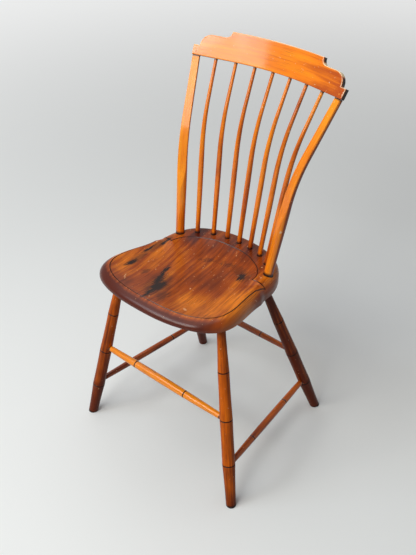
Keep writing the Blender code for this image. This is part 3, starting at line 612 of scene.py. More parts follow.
def distance_to_path(points, path):
    """Shortest distance from each flat point to a path of flat points."""
    best = np.full(len(points), math.inf)
    for a, b in zip(path, path[1:]):
        along = b - a
        t = unit((points - a) @ along / max(along @ along, TINY))
        away = points - a - t[:, None] * along
        best = np.minimum(best, np.hypot(away[:, 0], away[:, 1]))
    return best


def distance_to_line(points):
    """Shortest plan distance from each point on the right half to the scribed line."""
    return distance_to_path(points, SCRIBED_LINE)


def deck_height(y):
    return SEAT_HEIGHT - math.tan(SEAT_FALL) * y


def seat_top_drop(angle, radius):
    """How far the top lies below the deck's plane, for arrays of directions on the right half."""
    inward = unit((outline_radius(angle) - radius) / round_the_edge(ROLL_RUN, angle))
    drop = round_the_edge(ROLL_DROP, angle) * (1.0 - np.sqrt(1.0 - (1.0 - inward) ** 2))
    in_front = angle < SCRIBE_CUT_ANGLE
    limit = np.where(in_front, scribe_front_radius(angle), scribe_back_radius(angle))
    x, y = radius * np.cos(angle), radius * np.sin(angle)
    forward = (SEAT_BACK_REACH - y) / (SEAT_BACK_REACH + SEAT_FRONT_REACH)
    run = lerp(DISH_RUN_BACK, DISH_RUN_FRONT, forward)
    t = np.minimum(1.0, distance_to_line(np.stack([x, y], axis=-1)) / run)
    return drop + np.where(radius < limit, DISH_DEPTH * t * (2.0 - t), 0.0)


def groove_share(offsets):
    """Depth of the scribed groove at offsets from its middle, as shares of half its width."""
    return unit(1.0 - np.abs(offsets)) ** SCRIBE_SHARPNESS


def seat_angles():
    """Directions of the columns on the right half, with close ones across the ear's cut."""
    reach = 0.5 * (scribe_front_radius(SCRIBE_CUT_ANGLE) + scribe_back_radius(SCRIBE_CUT_ANGLE))
    half = 0.5 * SCRIBE_WIDTH / reach
    even = np.linspace(-0.5 * math.pi, 0.5 * math.pi, HALF_TURN_COLUMNS)
    even = even[np.abs(even - SCRIBE_CUT_ANGLE) > CUT_CLEARANCE * half]
    angles = np.concatenate([even, SCRIBE_CUT_ANGLE + CUT_COLUMNS * half])
    across = np.concatenate([np.full(len(even), math.inf), CUT_COLUMNS])
    order = np.argsort(angles)
    return angles[order], across[order]


def seat_half():
    """Directions of the right half's columns, and the radius and drop of their points.

    The rows go from the middle of the top out to the edge and in to the middle of the underside.
    """
    angles, across = seat_angles()
    outer = outline_radius(angles)
    run = round_the_edge(ROLL_RUN, angles)
    half = 0.5 * SCRIBE_WIDTH
    reach = CUT_COLUMNS[-1] * half
    behind = angles > SCRIBE_CUT_ANGLE
    front_line = scribe_front_radius(angles)
    cusp_share = scribe_back_radius(SCRIBE_CUT_ANGLE) / scribe_front_radius(SCRIBE_CUT_ANGLE)
    line_out = np.where(behind, outer - run, front_line)
    line_in = np.where(behind, scribe_back_radius(angles), front_line * cusp_share)
    steepest_run = 1.0 - math.cos(ROLL_STEEPEST)
    room = (outer - line_out - 2.0 * SCRIBE_WIDTH) / (run * steepest_run)
    roll = np.clip(room, ROLL_LEAST_ROOM, 1.0) * run
    roll_start = outer - roll * steepest_run
    roll_angles = np.linspace(ROLL_STEEPEST, 0.0, ROLL_ROWS)[:, None]

    offsets = CUT_COLUMNS[:, None]
    groove, cut = groove_share(offsets), groove_share(across)
    inner_groove = np.where(behind | np.isfinite(across), groove, 0.0)
    inner_groove = np.maximum(inner_groove, np.where(offsets > 0.0, cut, 0.0))
    outer_groove = np.where(behind, 0.0, groove)
    outer_groove = np.maximum(outer_groove, np.where(offsets < 0.0, cut, 0.0))
    shares = [between(rows)[:, None] for rows in SEAT_ROWS]
    # Radii of the rows, and how deep they lie in a groove
    parts = (
        ((line_in - reach) * shares[0] ** SEAT_CROWDING, 0.0),
        (line_in + offsets * half, inner_groove),
        (lerp(line_in + reach, line_out - reach, shares[1]), cut),
        (line_out + offsets * half, outer_groove),
        (lerp(line_out + reach, roll_start, shares[2]), 0.0),
        (outer - roll * (1.0 - np.cos(roll_angles)), 0.0),
    )
    radius = np.concatenate([radii for radii, _ in parts])
    depth = np.concatenate([np.broadcast_to(depths, radii.shape) for radii, depths in parts])
    every_angle = np.broadcast_to(angles, radius.shape)
    drop = seat_top_drop(every_angle.ravel(), radius.ravel()).reshape(radius.shape)

    share = np.linspace(0.0, 1.0, BEVEL_ROWS)[:, None]
    bevel = outer - share * round_the_edge(UNDER_BEVEL, angles)
    bevel_drop = lerp(round_the_edge(FLANK_DROP, angles), SEAT_THICKNESS, share ** UNDER_ROUNDING)
    underside = bevel[-1] * UNDERSIDE_SHARES[:, None]
    under_drop = np.full_like(underside, SEAT_THICKNESS)
    radius = np.concatenate([radius, bevel, underside])
    drop = np.concatenate([drop + SCRIBE_DEPTH * depth, bevel_drop, under_drop])
    return angles, radius, drop


def seat_mesh():
    angles, radius, drop = seat_half()
    x = radius * np.cos(angles)
    y = radius * np.sin(angles)
    z = deck_height(y) - drop
    right = np.stack([x, y, z], axis=-1)
    left = np.stack([-x, y, z], axis=-1)[:, ::-1][:, 1:-1]
    grid = np.concatenate([right, left], axis=1)
    centre_drop = seat_top_drop(np.zeros(1), np.zeros(1))[0]
    caps = [(0.0, 0.0, deck_height(0.0) - drop) for drop in (SEAT_THICKNESS, centre_drop)]
    return grid_mesh("seat", grid[::-1], caps)


# Legs and stretchers


def plank_reach(origin, axis, drop):
    """Distance along an axis from its origin to the plane that lies this far below the deck."""
    fall = math.tan(SEAT_FALL)
    return (SEAT_HEIGHT - drop - origin.z - fall * origin.y) / (axis.z + fall * axis.y)


def seat_point(angle, inset, side):
    radius = outline_radius(angle) - inset
    y = radius * math.sin(angle)
    return Vector((side * radius * math.cos(angle), y, deck_height(y)))


class Leg:
    """A straight turned leg, cut off at the floor and driven into the seat from below."""

    def __init__(self, placing, side, trim):
        foot_x, foot_y, angle, inset = placing
        self.foot = Vector((side * foot_x, foot_y, 0.0))
        self.axis = (seat_point(angle, inset, side) - self.foot).normalized()
        self.mouth = plank_reach(self.foot, self.axis, SEAT_THICKNESS)
        self.end = plank_reach(self.foot, self.axis, SEAT_THICKNESS - SOCKET_DEPTH)
        self.rings = [height - trim for height in LEG_RING_HEIGHTS]
        self.stops = np.array([-trim, *self.rings, self.mouth])
        self.radii = np.array([LEG_END_RADIUS, *LEG_RING_RADII, LEG_SEAT_RADIUS])

    def radius(self, distance):
        """Radius at a distance from the floor, drawn in a little between the rings."""
        base = np.interp(distance, self.stops, self.radii)
        index = np.clip(np.searchsorted(self.stops, distance) - 1, 0, len(self.stops) - 2)
        t = unit((distance - self.stops[index]) / (self.stops[index + 1] - self.stops[index]))
        return base - LEG_WAISTING * 4.0 * t * (1.0 - t)

    def at_height(self, height):
        distance = height / self.axis.z
        return distance, self.foot + self.axis * distance

    def mesh(self, name):
        """The leg along local Z, with its lowest rows sheared to lie flat on the floor."""
        down = UP.rotation_difference(self.axis).inverted() @ UP
        cosines, sines = once_round(LEG_SIDES)
        sole = -(down.x * cosines + down.y * sines) / down.z
        # Radius of a row, how much it slants with the sole, and its distance
        rows = [(self.radius(0.0) - inset, 1.0, distance) for inset, distance in SOLE_ROWS]
        for share in between(SHEARED_ROWS):
            distance = lerp(SOLE_ROWS[-1][1], SHEARED_END, share)
            rows.append((self.radius(distance), 1.0 - share, distance))
        body = along_rows(SHEARED_END, self.end - SOCKET_END_GAP, self.rings)
        radii = self.radius(body) - ring_groove(body, self.rings, RING_DEPTH)
        rows += [(radius, 0.0, distance) for radius, distance in zip(radii, body)]
        radius, slant, distance = np.array(rows).T[:, :, None]
        return turned_mesh(name, sole * radius * slant + distance, radius, LEG_SIDES)


def stretcher_shape(legs, height, radii, shares):
    """Start, axis, rings, profile and the legs' sockets of a stretcher between two legs."""
    places = [leg.at_height(height) for leg in legs]
    run = places[1][1] - places[0][1]
    axis, length = run.normalized(), run.length
    first, second = (float(leg.radius(distance)) for leg, (distance, _) in zip(legs, places))
    tenon_radius, middle_radius = radii
    rings = [share * length for share in shares]
    distances = along_rows(first - STRETCHER_TENON, length - second + STRETCHER_TENON, rings)
    share = unit((distances - first) / (length - first - second))
    radius = lerp(middle_radius, tenon_radius, (2.0 * share - 1.0) ** 2)
    radius = radius - ring_groove(distances, rings, STRETCHER_RING_DEPTH)
    sockets = []
    for (_, centre), surface, outward in zip(places, (first, second), (1.0, -1.0)):
        bottom = centre + axis * outward * (surface - STRETCHER_TENON - SOCKET_END_GAP)
        mouth = centre + axis * outward * (surface + STRETCHER_TENON)
        sockets.append((bottom, mouth, tenon_radius))
    return places[0][1], axis, rings, (distances, radius), sockets


# Crest rail


def crest_frame(x):
    """Point on the rail's lower edge at mid-thickness, and its along, up and back directions."""
    bent = min(abs(x), CREST_BENT_HALF_WIDTH)
    side = math.copysign(1.0, x)
    drop = bent * bent / (2.0 * CREST_RADIUS) + (abs(x) - bent) * bent / CREST_RADIUS
    slope = side * bent / CREST_RADIUS
    share = x / CREST_HALF_WIDTH
    lean = lerp(CREST_LEAN_MIDDLE, CREST_LEAN_END, share * share)
    edge = Vector((x, CREST_Y - drop, CREST_HEIGHT + CREST_LIFT * drop))
    along = Vector((1.0, -slope, CREST_LIFT * slope)).normalized()
    up = Vector((CREST_FLARE * share, math.sin(lean), math.cos(lean)))
    back = up.cross(along).normalized()
    return edge, along, up, back


def crest_outline():
    """Points (x, height) of the rail's face, from its lower right corner round to the left."""
    inner = CREST_HALF_WIDTH - CREST_END_WIDTH
    rise = CREST_SHOULDER_HEIGHT - CREST_END_HEIGHT
    right = [(CREST_HALF_WIDTH, 0.0), (CREST_HALF_WIDTH, CREST_END_HEIGHT)]
    angles = [0.5 * math.pi * i / CREST_CURVE_STEPS for i in range(CREST_CURVE_STEPS + 1)]
    for angle in angles:
        x = inner - rise * (1.0 - math.cos(angle))
        right.append((x, CREST_END_HEIGHT + rise * math.sin(angle)))
    for angle in angles:
        x = CREST_TABLET_HALF_WIDTH + CREST_COVE_RADIUS * (1.0 - math.sin(angle))
        right.append((x, CREST_SHOULDER_HEIGHT + CREST_COVE_RADIUS * (1.0 - math.cos(angle))))
    right.append((CREST_TABLET_HALF_WIDTH, CREST_TABLET_HEIGHT))
    return right + [(-x, height) for x, height in reversed(right)]


CREST_OUTLINE = crest_outline()
CREST_PATH = np.array(CREST_OUTLINE + CREST_OUTLINE[:1])


def crest_mesh(name):
    """The rail's mesh, and where its points lay before it was bent (x, depth, height)."""
    bm = bmesh.new()
    front = -0.5 * CREST_THICKNESS
    face = bm.faces.new([bm.verts.new((x, front, height)) for x, height in CREST_OUTLINE])
    grown = bmesh.ops.extrude_face_region(bm, geom=[face])
    moved = [item for item in grown["geom"] if isinstance(item, bmesh.types.BMVert)]
    bmesh.ops.translate(bm, verts=moved, vec=(0.0, CREST_THICKNESS, 0.0))
    bmesh.ops.recalc_face_normals(bm, faces=bm.faces)
    rims = [edge for edge in bm.edges if edge.verts[0].co.y == edge.verts[1].co.y]
    bmesh.ops.bevel(bm, geom=rims, offset=CREST_EDGE_ROUND, segments=CREST_EDGE_SEGMENTS,
                    profile=0.5, affect="EDGES")
    cuts = [(0, lerp(-CREST_HALF_WIDTH, CREST_HALF_WIDTH, i / CREST_SLICES))
            for i in range(1, CREST_SLICES)]
    cuts += [(2, CREST_TABLET_HEIGHT * i / CREST_ROWS) for i in range(1, CREST_ROWS)]
    cuts += [(1, front + depth) for depth in CREST_DEPTH_ROWS]
    for axis, distance in cuts:
        normal = Vector((0.0, 0.0, 0.0))
        normal[axis] = 1.0
        everything = bm.verts[:] + bm.edges[:] + bm.faces[:]
        bmesh.ops.bisect_plane(bm, geom=everything, plane_co=normal * distance, plane_no=normal)
    flat = [tuple(vert.co) for vert in bm.verts]
    for vert, (x, depth, height) in zip(bm.verts, flat):
        edge, _, up, back = crest_frame(x)
        vert.co = edge + up * height + back * depth
    bmesh.ops.triangulate(bm, faces=[face for face in bm.faces if len(face.verts) > 4])
    mesh = bpy.data.meshes.new(name)
    bm.to_mesh(mesh)
    bm.free()
    return mesh, flat


# Spindles and stiles


class BackMember:
    """A bent rod from a blind socket in the seat to a mortise in the crest rail's lower edge."""

    def __init__(self, place, inset, knee, turn):
        side = LEFT if place < 0 else RIGHT
        knee_height, knee_spread = knee
        self.facing = Vector((-side * math.sin(turn), -math.cos(turn), 0.0))
        self.base = seat_point(0.5 * math.pi - abs(place) * BACK_STEP_ANGLE, inset, side)
        self.top, self.along, self.up, self.back = crest_frame(place * CREST_STEP)
        rise = self.top.z - knee_height
        spread = (self.top.x - self.base.x) * (1.0 - knee_spread)
        scale = self.up.x * self.along.z - self.up.z * self.along.x
        up_run = (spread * self.along.z - rise * self.along.x) / scale
        along_run = (self.up.x * rise - self.up.z * spread) / scale
        self.knee = self.top - self.up * up_run - self.along * along_run
        self.lower = (self.knee - self.base).normalized()
        self.upper = (self.top - self.knee).normalized()

    def section(self, centre, direction, radius, sides, flat=math.inf):
        front = (self.facing - direction * self.facing.dot(direction)).normalized()
        return round_section(centre, front.cross(direction), front, radius, sides, flat)

    def path(self):
        """Centres and directions from the deck to the rail's lower edge."""
        bend_start = self.knee - self.lower * KNEE_REACH
        bend_end = self.knee + self.upper * KNEE_REACH
        lower, bend, upper = (np.linspace(0.0, 1.0, rows) for rows in ROD_ROWS)
        stations = [(self.base.lerp(bend_start, t), self.lower) for t in lower[:-1]]
        for t in bend:
            first, second = bend_start.lerp(self.knee, t), self.knee.lerp(bend_end, t)
            way = self.lower.lerp(self.upper, t).normalized()
            stations.append((first.lerp(second, t), way))
        return stations + [(bend_end.lerp(self.top, t), self.upper) for t in upper[1:]]

    def share(self, centre):
        return (centre.z - self.base.z) / (self.top.z - self.base.z)

    def socket_bottom(self, gap):
        return self.base + self.lower * (plank_reach(self.base, self.lower, SOCKET_DEPTH) + gap)


def swelling(share, radii, swell_at, fall):
    """Radius at a share of the height: eased up to the swell, and by its own rule from there."""
    base, swell, top = radii
    if share < swell_at:
        return lerp(base, swell, ease(share / swell_at))
    return lerp(swell, top, fall((share - swell_at) / (1.0 - swell_at)))


def spindle_mesh(name, rod):
    base, _, top = SPINDLE_RADII
    sections = [rod.section(rod.socket_bottom(SOCKET_END_GAP), rod.lower, base, SPINDLE_SIDES)]
    for centre, direction in rod.path():
        radius = swelling(rod.share(centre), SPINDLE_RADII, SPINDLE_SWELL_AT, ease)
        sections.append(rod.section(centre, direction, radius, SPINDLE_SIDES))
    end = rod.top + rod.upper * (SPINDLE_MORTISE - SOCKET_END_GAP)
    sections.append(rod.section(end, rod.upper, top, SPINDLE_SIDES))
    return grid_mesh(name, sections)


def stile_mesh(name, rod):
    """A back post with its front shaved flat, and a shoulder and tenon under the rail."""
    sections = [
        rod.section(rod.socket_bottom(SOCKET_END_GAP), rod.lower, STILE_RADII[0], STILE_SIDES)]
    for centre, direction in rod.path():
        radius = swelling(rod.share(centre), STILE_RADII, STILE_SWELL_AT, float)
        shaved = ease((centre.z - STILE_FLAT_START) / (STILE_FLAT_FULL - STILE_FLAT_START))
        flat = lerp(radius, STILE_FLAT_REACH, shaved)
        sections.append(rod.section(centre, direction, radius, STILE_SIDES, flat))
    normal = np.array(rod.along.cross(rod.back).normalized())
    upper = np.array(rod.upper)
    shoulder = np.array(rod.top) - normal * GAP

    def on_shoulder(points):
        return points + np.outer((shoulder - points) @ normal / (upper @ normal), upper)

    sections[-1] = on_shoulder(sections[-1])
    tenon = rod.section(rod.top, rod.upper, STILE_TENON_RADIUS, STILE_SIDES)
    sections += [on_shoulder(tenon), tenon + upper * (STILE_TENON - SOCKET_END_GAP)]
    return grid_mesh(name, sections)


# Marks: where the grain runs, where a piece is dirty, worn or lighter, and where shade and
# highlights are painted on, kept on its points


def points_of(mesh):
    points = np.empty(len(mesh.vertices) * 3)
    mesh.vertices.foreach_get("co", points)
    return points.reshape(-1, 3)


def write_mark(mesh, name, values):
    """Keeps one number or one vector a point under a name that the finishes read."""
    values = np.asarray(values, dtype=float)
    kind, key = ("FLOAT_VECTOR", "vector") if values.ndim == 2 else ("FLOAT", "value")
    attribute = mesh.attributes.new(name, kind, "POINT")
    attribute.data.foreach_set(key, values.ravel())


# The dirt mark also carries painted shade, and the wear mark painted highlights
def write_marks(mesh, grain, dirt_and_shade, wear_and_highlight, tone):
    write_mark(mesh, "grain", grain)
    write_mark(mesh, "dirt_and_shade", np.clip(dirt_and_shade, 0.0, 1.0))
    write_mark(mesh, "wear_and_highlight", np.clip(wear_and_highlight, 0.0, 1.0))
    write_mark(mesh, "tone", tone)


def near(distances, reach):
    """1 at a distance of 0, and softly down to 0 at the reach."""
    return 1.0 - ease(np.abs(distances) / reach)


def mark_turned(mesh, number, rings, ends, tone):
    """Marks of a round piece about its local Z: dirt in its rings and at its ends."""
    points = points_of(mesh)
    along = points[:, 2]
    dirt_and_shade = np.zeros_like(along)
    wear_and_highlight = np.zeros_like(along)
    for ring in rings:
        dirt_and_shade = np.maximum(dirt_and_shade, near(along - ring, RING_DIRT_REACH))
        lip = near(np.abs(along - ring) - RING_LIP_PLACE, RING_LIP_REACH)
        wear_and_highlight = np.maximum(wear_and_highlight, RING_LIP_WEAR * lip)
    for place, reach in ends:
        dirt_and_shade = np.maximum(dirt_and_shade, END_DIRT * near(along - place, reach))
    write_marks(mesh, points + NUMBER_STEP * number, dirt_and_shade, wear_and_highlight, np.interp(along, *tone))


def mark_seat(mesh, stands):
    """Marks of the seat, with dirt round the rods that stand on it (x, y, radius)."""
    points = points_of(mesh)
    x, y, z = points.T
    drop = deck_height(y) - z
    upper = 1.0 - ease((drop - UPPER_DROP) / UPPER_FADE)
    groove = distance_to_line(np.stack([np.abs(x), y], axis=-1))
    dirt_and_shade = SCRIBE_DIRT * upper * near(groove, SCRIBE_DIRT_REACH)
    angle = np.arctan2(y, np.abs(x))
    radius = np.hypot(x, y)
    outside = (radius > scribe_front_radius(angle)) & (angle < SCRIBE_CUT_ANGLE)
    lip = upper * outside * near(groove - SCRIBE_LIP_PLACE, SCRIBE_LIP_REACH)
    wear_and_highlight = SCRIBE_LIP_WEAR * lip * ease((SCRIBE_LIP_END - x) / SCRIBE_LIP_END)
    tone = np.where(drop > SEAT_THICKNESS - UNDER_TONE_DEPTH, UNDER_TONE, 0.0)
    for patch_x, patch_y, reach, strength in SEAT_PATCHES:
        away = (x - patch_x) ** 2 + (y - patch_y) ** 2
        tone = tone + upper * strength * np.exp(-away / reach ** 2)
    for rod_x, rod_y, size in stands:
        away = np.hypot(x - rod_x, y - rod_y) - size
        dirt_and_shade = np.maximum(dirt_and_shade, upper * near(np.maximum(away, 0.0), ROD_DIRT_REACH))
    roll = outside * ease((groove - SEAT_ROLL_START) / SEAT_ROLL_FADE)
    tone = tone + SEAT_ROLL_TONE * roll * ease((SEAT_ROLL_DARK_END - x) / SEAT_ROLL_DARK_FADE)
    grain = np.stack([x + SEAT_GRAIN_SLANT * y, SEAT_GRAIN_DEPTH * z, y], axis=-1)
    write_marks(mesh, grain, dirt_and_shade, wear_and_highlight, tone)
    write_mark(mesh, "upper", upper)
    write_mark(mesh, "calm", SEAT_ROLL_CALM * roll)


def mark_crest(mesh, unbent, flat_points):
    """Marks of the crest rail, whose grain runs along it as it did before it was bent.

    Its up-facing edges get a painted highlight along with their wear, and its other edges away
    from the front face get a painted shade.
    """
    points = points_of(mesh)
    flat = np.empty_like(points)
    for index, point in enumerate(points):
        place, nearest, _ = unbent.find(point)
        x, depth, height = flat_points[nearest]
        _, along, up, back = crest_frame(x)
        away = Vector(point) - place
        flat[index] = (x + away.dot(along), depth + away.dot(back), height + away.dot(up))
    x, depth, height = flat.T
    normals = [normal.vector for normal in mesh.vertex_normals]
    frames = [crest_frame(place) for place in x]
    upward = np.array([normal.dot(up) for normal, (_, _, up, _) in zip(normals, frames)])
    from_front = depth + 0.5 * CREST_THICKNESS
    edge = near(distance_to_path(np.stack([x, height], axis=-1), CREST_PATH), CREST_EDGE_REACH)
    front_wear = np.where(height < CREST_EDGE_REACH, LOW_EDGE_WEAR, 1.0)
    front_wear = front_wear * near(from_front, CREST_ARRIS_REACH)
    # Painted highlight: edges that face up are made pale, along with their wear
    upper = ease((upward - CREST_TOP_START) / CREST_TOP_FADE)
    upper = upper * ease((height - CREST_EDGE_REACH) / CREST_EDGE_REACH)
    wear_and_highlight = edge * np.maximum(front_wear, TOP_EDGE_WEAR_AND_HIGHLIGHT * upper)
    # Painted shade: edges that don't face up, away from the front face, are darkened
    dirt_and_shade = edge * (1.0 - upper) * ease((from_front - CREST_ARRIS_REACH) / CREST_ARRIS_REACH)
    tone = np.interp(x, *CREST_TONE)
    write_marks(mesh, np.stack([depth, height, x], axis=-1), dirt_and_shade, wear_and_highlight, tone)


def mark_rod(mesh, number, rod, tone, back_shade):
    """Marks of a bent rod, whose grain follows its path, with painted shade on the side that faces
    away from its front.
    """
    points = points_of(mesh)
    centres, ways = (np.array(column) for column in zip(*rod.path()))
    steps = np.linalg.norm(np.diff(centres, axis=0), axis=1)
    lengths = np.concatenate([[0.0], np.cumsum(steps)])
    nearest = np.array([np.argmin(((centres - point) ** 2).sum(axis=1)) for point in points])
    away = points - centres[nearest]
    way = ways[nearest]
    distance = lengths[nearest] + (away * way).sum(axis=1)
    facing = np.array(rod.facing)
    front = facing - way * (way @ facing)[:, None]
    front /= np.linalg.norm(front, axis=1)[:, None]
    forward = (away * front).sum(axis=1)
    sideways = (away * np.cross(front, way)).sum(axis=1)
    foot = near(np.maximum(distance, 0.0), ROD_FOOT_DIRT)
    top = near(np.maximum(lengths[-1] - distance, 0.0), ROD_TOP_DIRT)
    dirt_and_shade = np.maximum(foot, top) * END_DIRT
    # Painted shade: the side of the rod that faces away from its front is made darker
    behind = ease((ROD_SHADE_START - forward) / ROD_SHADE_FADE)
    tones = np.interp(distance / lengths[-1], *tone) + back_shade * behind
    wear_and_highlight = np.zeros(len(points))
    for *place, reach in ROD_CHIPS:
        wear_and_highlight = np.maximum(wear_and_highlight, near(np.linalg.norm(points - place, axis=1), reach))
    grain = np.stack([sideways, forward, distance], axis=-1) + NUMBER_STEP * number
    write_marks(mesh, grain, dirt_and_shade, wear_and_highlight, tones)


# Finishes


class Graph:
    """Short ways to build the nodes of a material or of the world."""

    def __init__(self, owner):
        owner.use_nodes = True
        self.owner, self.tree = owner, owner.node_tree

    def fill(self, node, inputs):
        """Links each input of a node to the output given for it, or sets it to the value."""
        for socket, value in inputs.items():
            if isinstance(value, bpy.types.NodeSocket):
                self.tree.links.new(value, node.inputs[socket])
            elif isinstance(value, tuple) and node.inputs[socket].type == "RGBA":
                node.inputs[socket].default_value = (*value, 1.0)
            else:
                node.inputs[socket].default_value = value

    def shade(self, inputs):
        self.fill(self.tree.nodes["Principled BSDF"], inputs)

    def node(self, kind, inputs, **settings):
        made = self.tree.nodes.new(kind)
        for key, value in settings.items():
            setattr(made, key, value)
        self.fill(made, inputs)
        return made

    def mark(self, name, output="Fac"):
        return self.node("ShaderNodeAttribute", {}, attribute_name=name).outputs[output]

    def calc(self, operation, *values):
        return self.node("ShaderNodeMath", dict(enumerate(values)), operation=operation).outputs[0]

    def vector_calc(self, operation, *values, output="Vector"):
        inputs = dict(enumerate(values))
        return self.node("ShaderNodeVectorMath", inputs, operation=operation).outputs[output]

    def spread(self, value, low, high):
        """0 at the low value and 1 at the high one, with soft ends."""
        inputs = {"Value": value, "From Min": low, "From Max": high}
        made = self.node("ShaderNodeMapRange", inputs, interpolation_type="SMOOTHSTEP")
        return made.outputs["Result"]

    def noise(self, vector, stretch, detail, output="Fac"):
        scaled = self.node("ShaderNodeMapping", {"Vector": vector, "Scale": stretch}).outputs[0]
        inputs = {"Vector": scaled, "Scale": 1.0, "Detail": detail}
        return self.node("ShaderNodeTexNoise", inputs).outputs[output]

    def ramp(self, factor, stops):
        made = self.node("ShaderNodeValToRGB", {"Fac": factor})
        elements = made.color_ramp.elements
        while len(elements) < len(stops):
            elements.new(0.5)
        for element, (place, colour) in zip(elements, stops):
            element.position = place
            element.color = (*colour, 1.0)
        return made.outputs["Color"]

    def mix(self, factor, first, second):
        inputs = {0: factor, 6: first, 7: second}
        return self.node("ShaderNodeMix", inputs, data_type="RGBA").outputs[2]

    def total(self, parts):
        """Sum of values, each times its share."""
        whole = None
        for value, share in parts:
            part = self.calc("MULTIPLY", value, share)
            whole = part if whole is None else self.calc("ADD", whole, part)
        return whole

    def ragged(self, mark, noise, raggedness, low, high):
        """Where a mark shows, once a noise has made its edge ragged."""
        push = self.calc("MULTIPLY", self.calc("SUBTRACT", noise, NOISE_MIDDLE), raggedness)
        shown = self.spread(self.calc("ADD", mark, push), low, high)
        return self.calc("MULTIPLY", shown, self.spread(mark, *MARK_START))


def spots(graph, vector, places):
    """Where a point lies inside any of the ellipses (x, y, half length, half width, turn)."""
    flat = graph.vector_calc("MULTIPLY", vector, (1.0, 1.0, 0.0))
    whole = None
    for x, y, length, width, turn in places:
        inputs = {"Vector": flat, "Location": (x, y, 0.0), "Rotation": (0.0, 0.0, turn)}
        inputs["Scale"] = (width, length, 1.0)
        local = graph.node("ShaderNodeMapping", inputs, vector_type="TEXTURE").outputs[0]
        away = graph.vector_calc("LENGTH", local, output="Value")
        inside = graph.spread(away, SPOT_OUTER, SPOT_INNER)
        whole = inside if whole is None else graph.calc("MAXIMUM", whole, inside)
    return whole


def warped(graph, vector, warp, reach):
    """The vector pushed about by noise, so that the spots get ragged edges along the grain."""
    push = graph.noise(vector, *warp, output="Color")
    middle = graph.vector_calc("SUBTRACT", push, (NOISE_MIDDLE,) * 3)
    return graph.vector_calc("ADD", vector, graph.vector_calc("MULTIPLY", middle, reach))


def wood_finish(name, row, stained):
    """Old varnish over wood: patches, streaks, lines and pores along the grain, dirt and wear, and
    painted shade and highlights.
    """
    roughness, lines, gloss, patches, streaks, *colours, worn_and_highlight = row
    graph = Graph(bpy.data.materials.new(f"{name}_finish"))
    grain = graph.mark("grain", "Vector")
    noises = (PATCH_NOISE, STREAK_NOISE, LINE_NOISE, PORE_NOISE, SPECK_NOISE)
    patch, streak, line, pore, speck = (graph.noise(grain, *noise) for noise in noises)
    shown = graph.calc("SUBTRACT", 1.0, graph.mark("calm"))
    uneven = graph.total([(patch, patches), (streak, streaks)])
    uneven = graph.calc("SUBTRACT", uneven, NOISE_MIDDLE * (patches + streaks))
    # The tone mark also carries the painted shade on the back of the rods
    level = graph.calc("MULTIPLY_ADD", uneven, shown, graph.mark("tone"))
    level = graph.calc("ADD", level, MIDDLE_LEVEL)
    colour = graph.ramp(level, list(zip(COLOUR_PLACES, colours)))
    fine = graph.spread(line, *FINE_LINES)
    drawn = graph.calc("MULTIPLY", graph.calc("MULTIPLY", fine, shown), lines)
    colour = graph.mix(drawn, colour, colours[0])
    specks = graph.calc("MULTIPLY", graph.spread(speck, *SPECKS), SPECK_SHARE)
    # Wear, specks and chips show the worn colour, and so does the painted highlight on the crest's
    # edges
    bare_and_highlight = graph.calc("MAXIMUM", graph.ragged(graph.mark("wear_and_highlight"), streak, *WEAR_AND_HIGHLIGHT_EDGE), specks)
    # Dirt, and the painted shade on the crest's edges, show the grime colour
    grime_and_shade = graph.ragged(graph.mark("dirt_and_shade"), patch, *DIRT_AND_SHADE_EDGE)
    if stained:
        place = graph.node("ShaderNodeTexCoord", {}).outputs["Object"]
        upper = graph.mark("upper")
        stain_place = warped(graph, place, STAIN_WARP, STAIN_WARP_REACH)
        stain = graph.calc("MULTIPLY", spots(graph, stain_place, BLACK_STAINS), upper)
        faint = graph.calc("MULTIPLY", spots(graph, stain_place, FAINT_STAINS), upper)
        faint = graph.calc("MULTIPLY", faint, FAINT_STAIN_SHARE)
        grime_and_shade = graph.calc("MAXIMUM", grime_and_shade, graph.calc("MAXIMUM", stain, faint))
        chips = spots(graph, warped(graph, place, CHIP_WARP, CHIP_WARP_REACH), PALE_CHIPS)
        chips = graph.calc("MULTIPLY", chips, graph.calc("MULTIPLY", upper, CHIP_SHARE))
        bare_and_highlight = graph.calc("MAXIMUM", bare_and_highlight, chips)
    colour = graph.mix(grime_and_shade, graph.mix(bare_and_highlight, colour, worn_and_highlight), GRIME_AND_SHADE_COLOUR)
    rough = graph.total(zip((patch, grime_and_shade, bare_and_highlight, fine), ROUGH_SHARES))
    height = graph.total(zip((line, pore, streak, bare_and_highlight, grime_and_shade), RELIEF_SHARES))
    relief = {"Height": height, "Strength": BUMP_STRENGTH, "Distance": BUMP_DISTANCE}
    graph.shade({
        "Base Color": colour,
        "Roughness": graph.calc("ADD", rough, roughness + ROUGH_OFFSET),
        "Normal": graph.node("ShaderNodeBump", relief).outputs["Normal"],
        "Specular IOR Level": SPECULAR_SHARE * gloss,
        "Coat Weight": gloss,
        "Coat Roughness": SEAT_COAT_ROUGHNESS if stained else COAT_ROUGHNESS,
        "Coat IOR": COAT_IOR,
    })
    return graph.owner


# Assembly


def dress(obj, node, material):
    obj.data.shade_smooth()
    obj.data.set_sharp_from_angle(angle=ROUND_ANGLE)
    obj.data.materials.clear()
    obj.data.materials.append(material)
    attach(obj, "root")
    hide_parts(node)


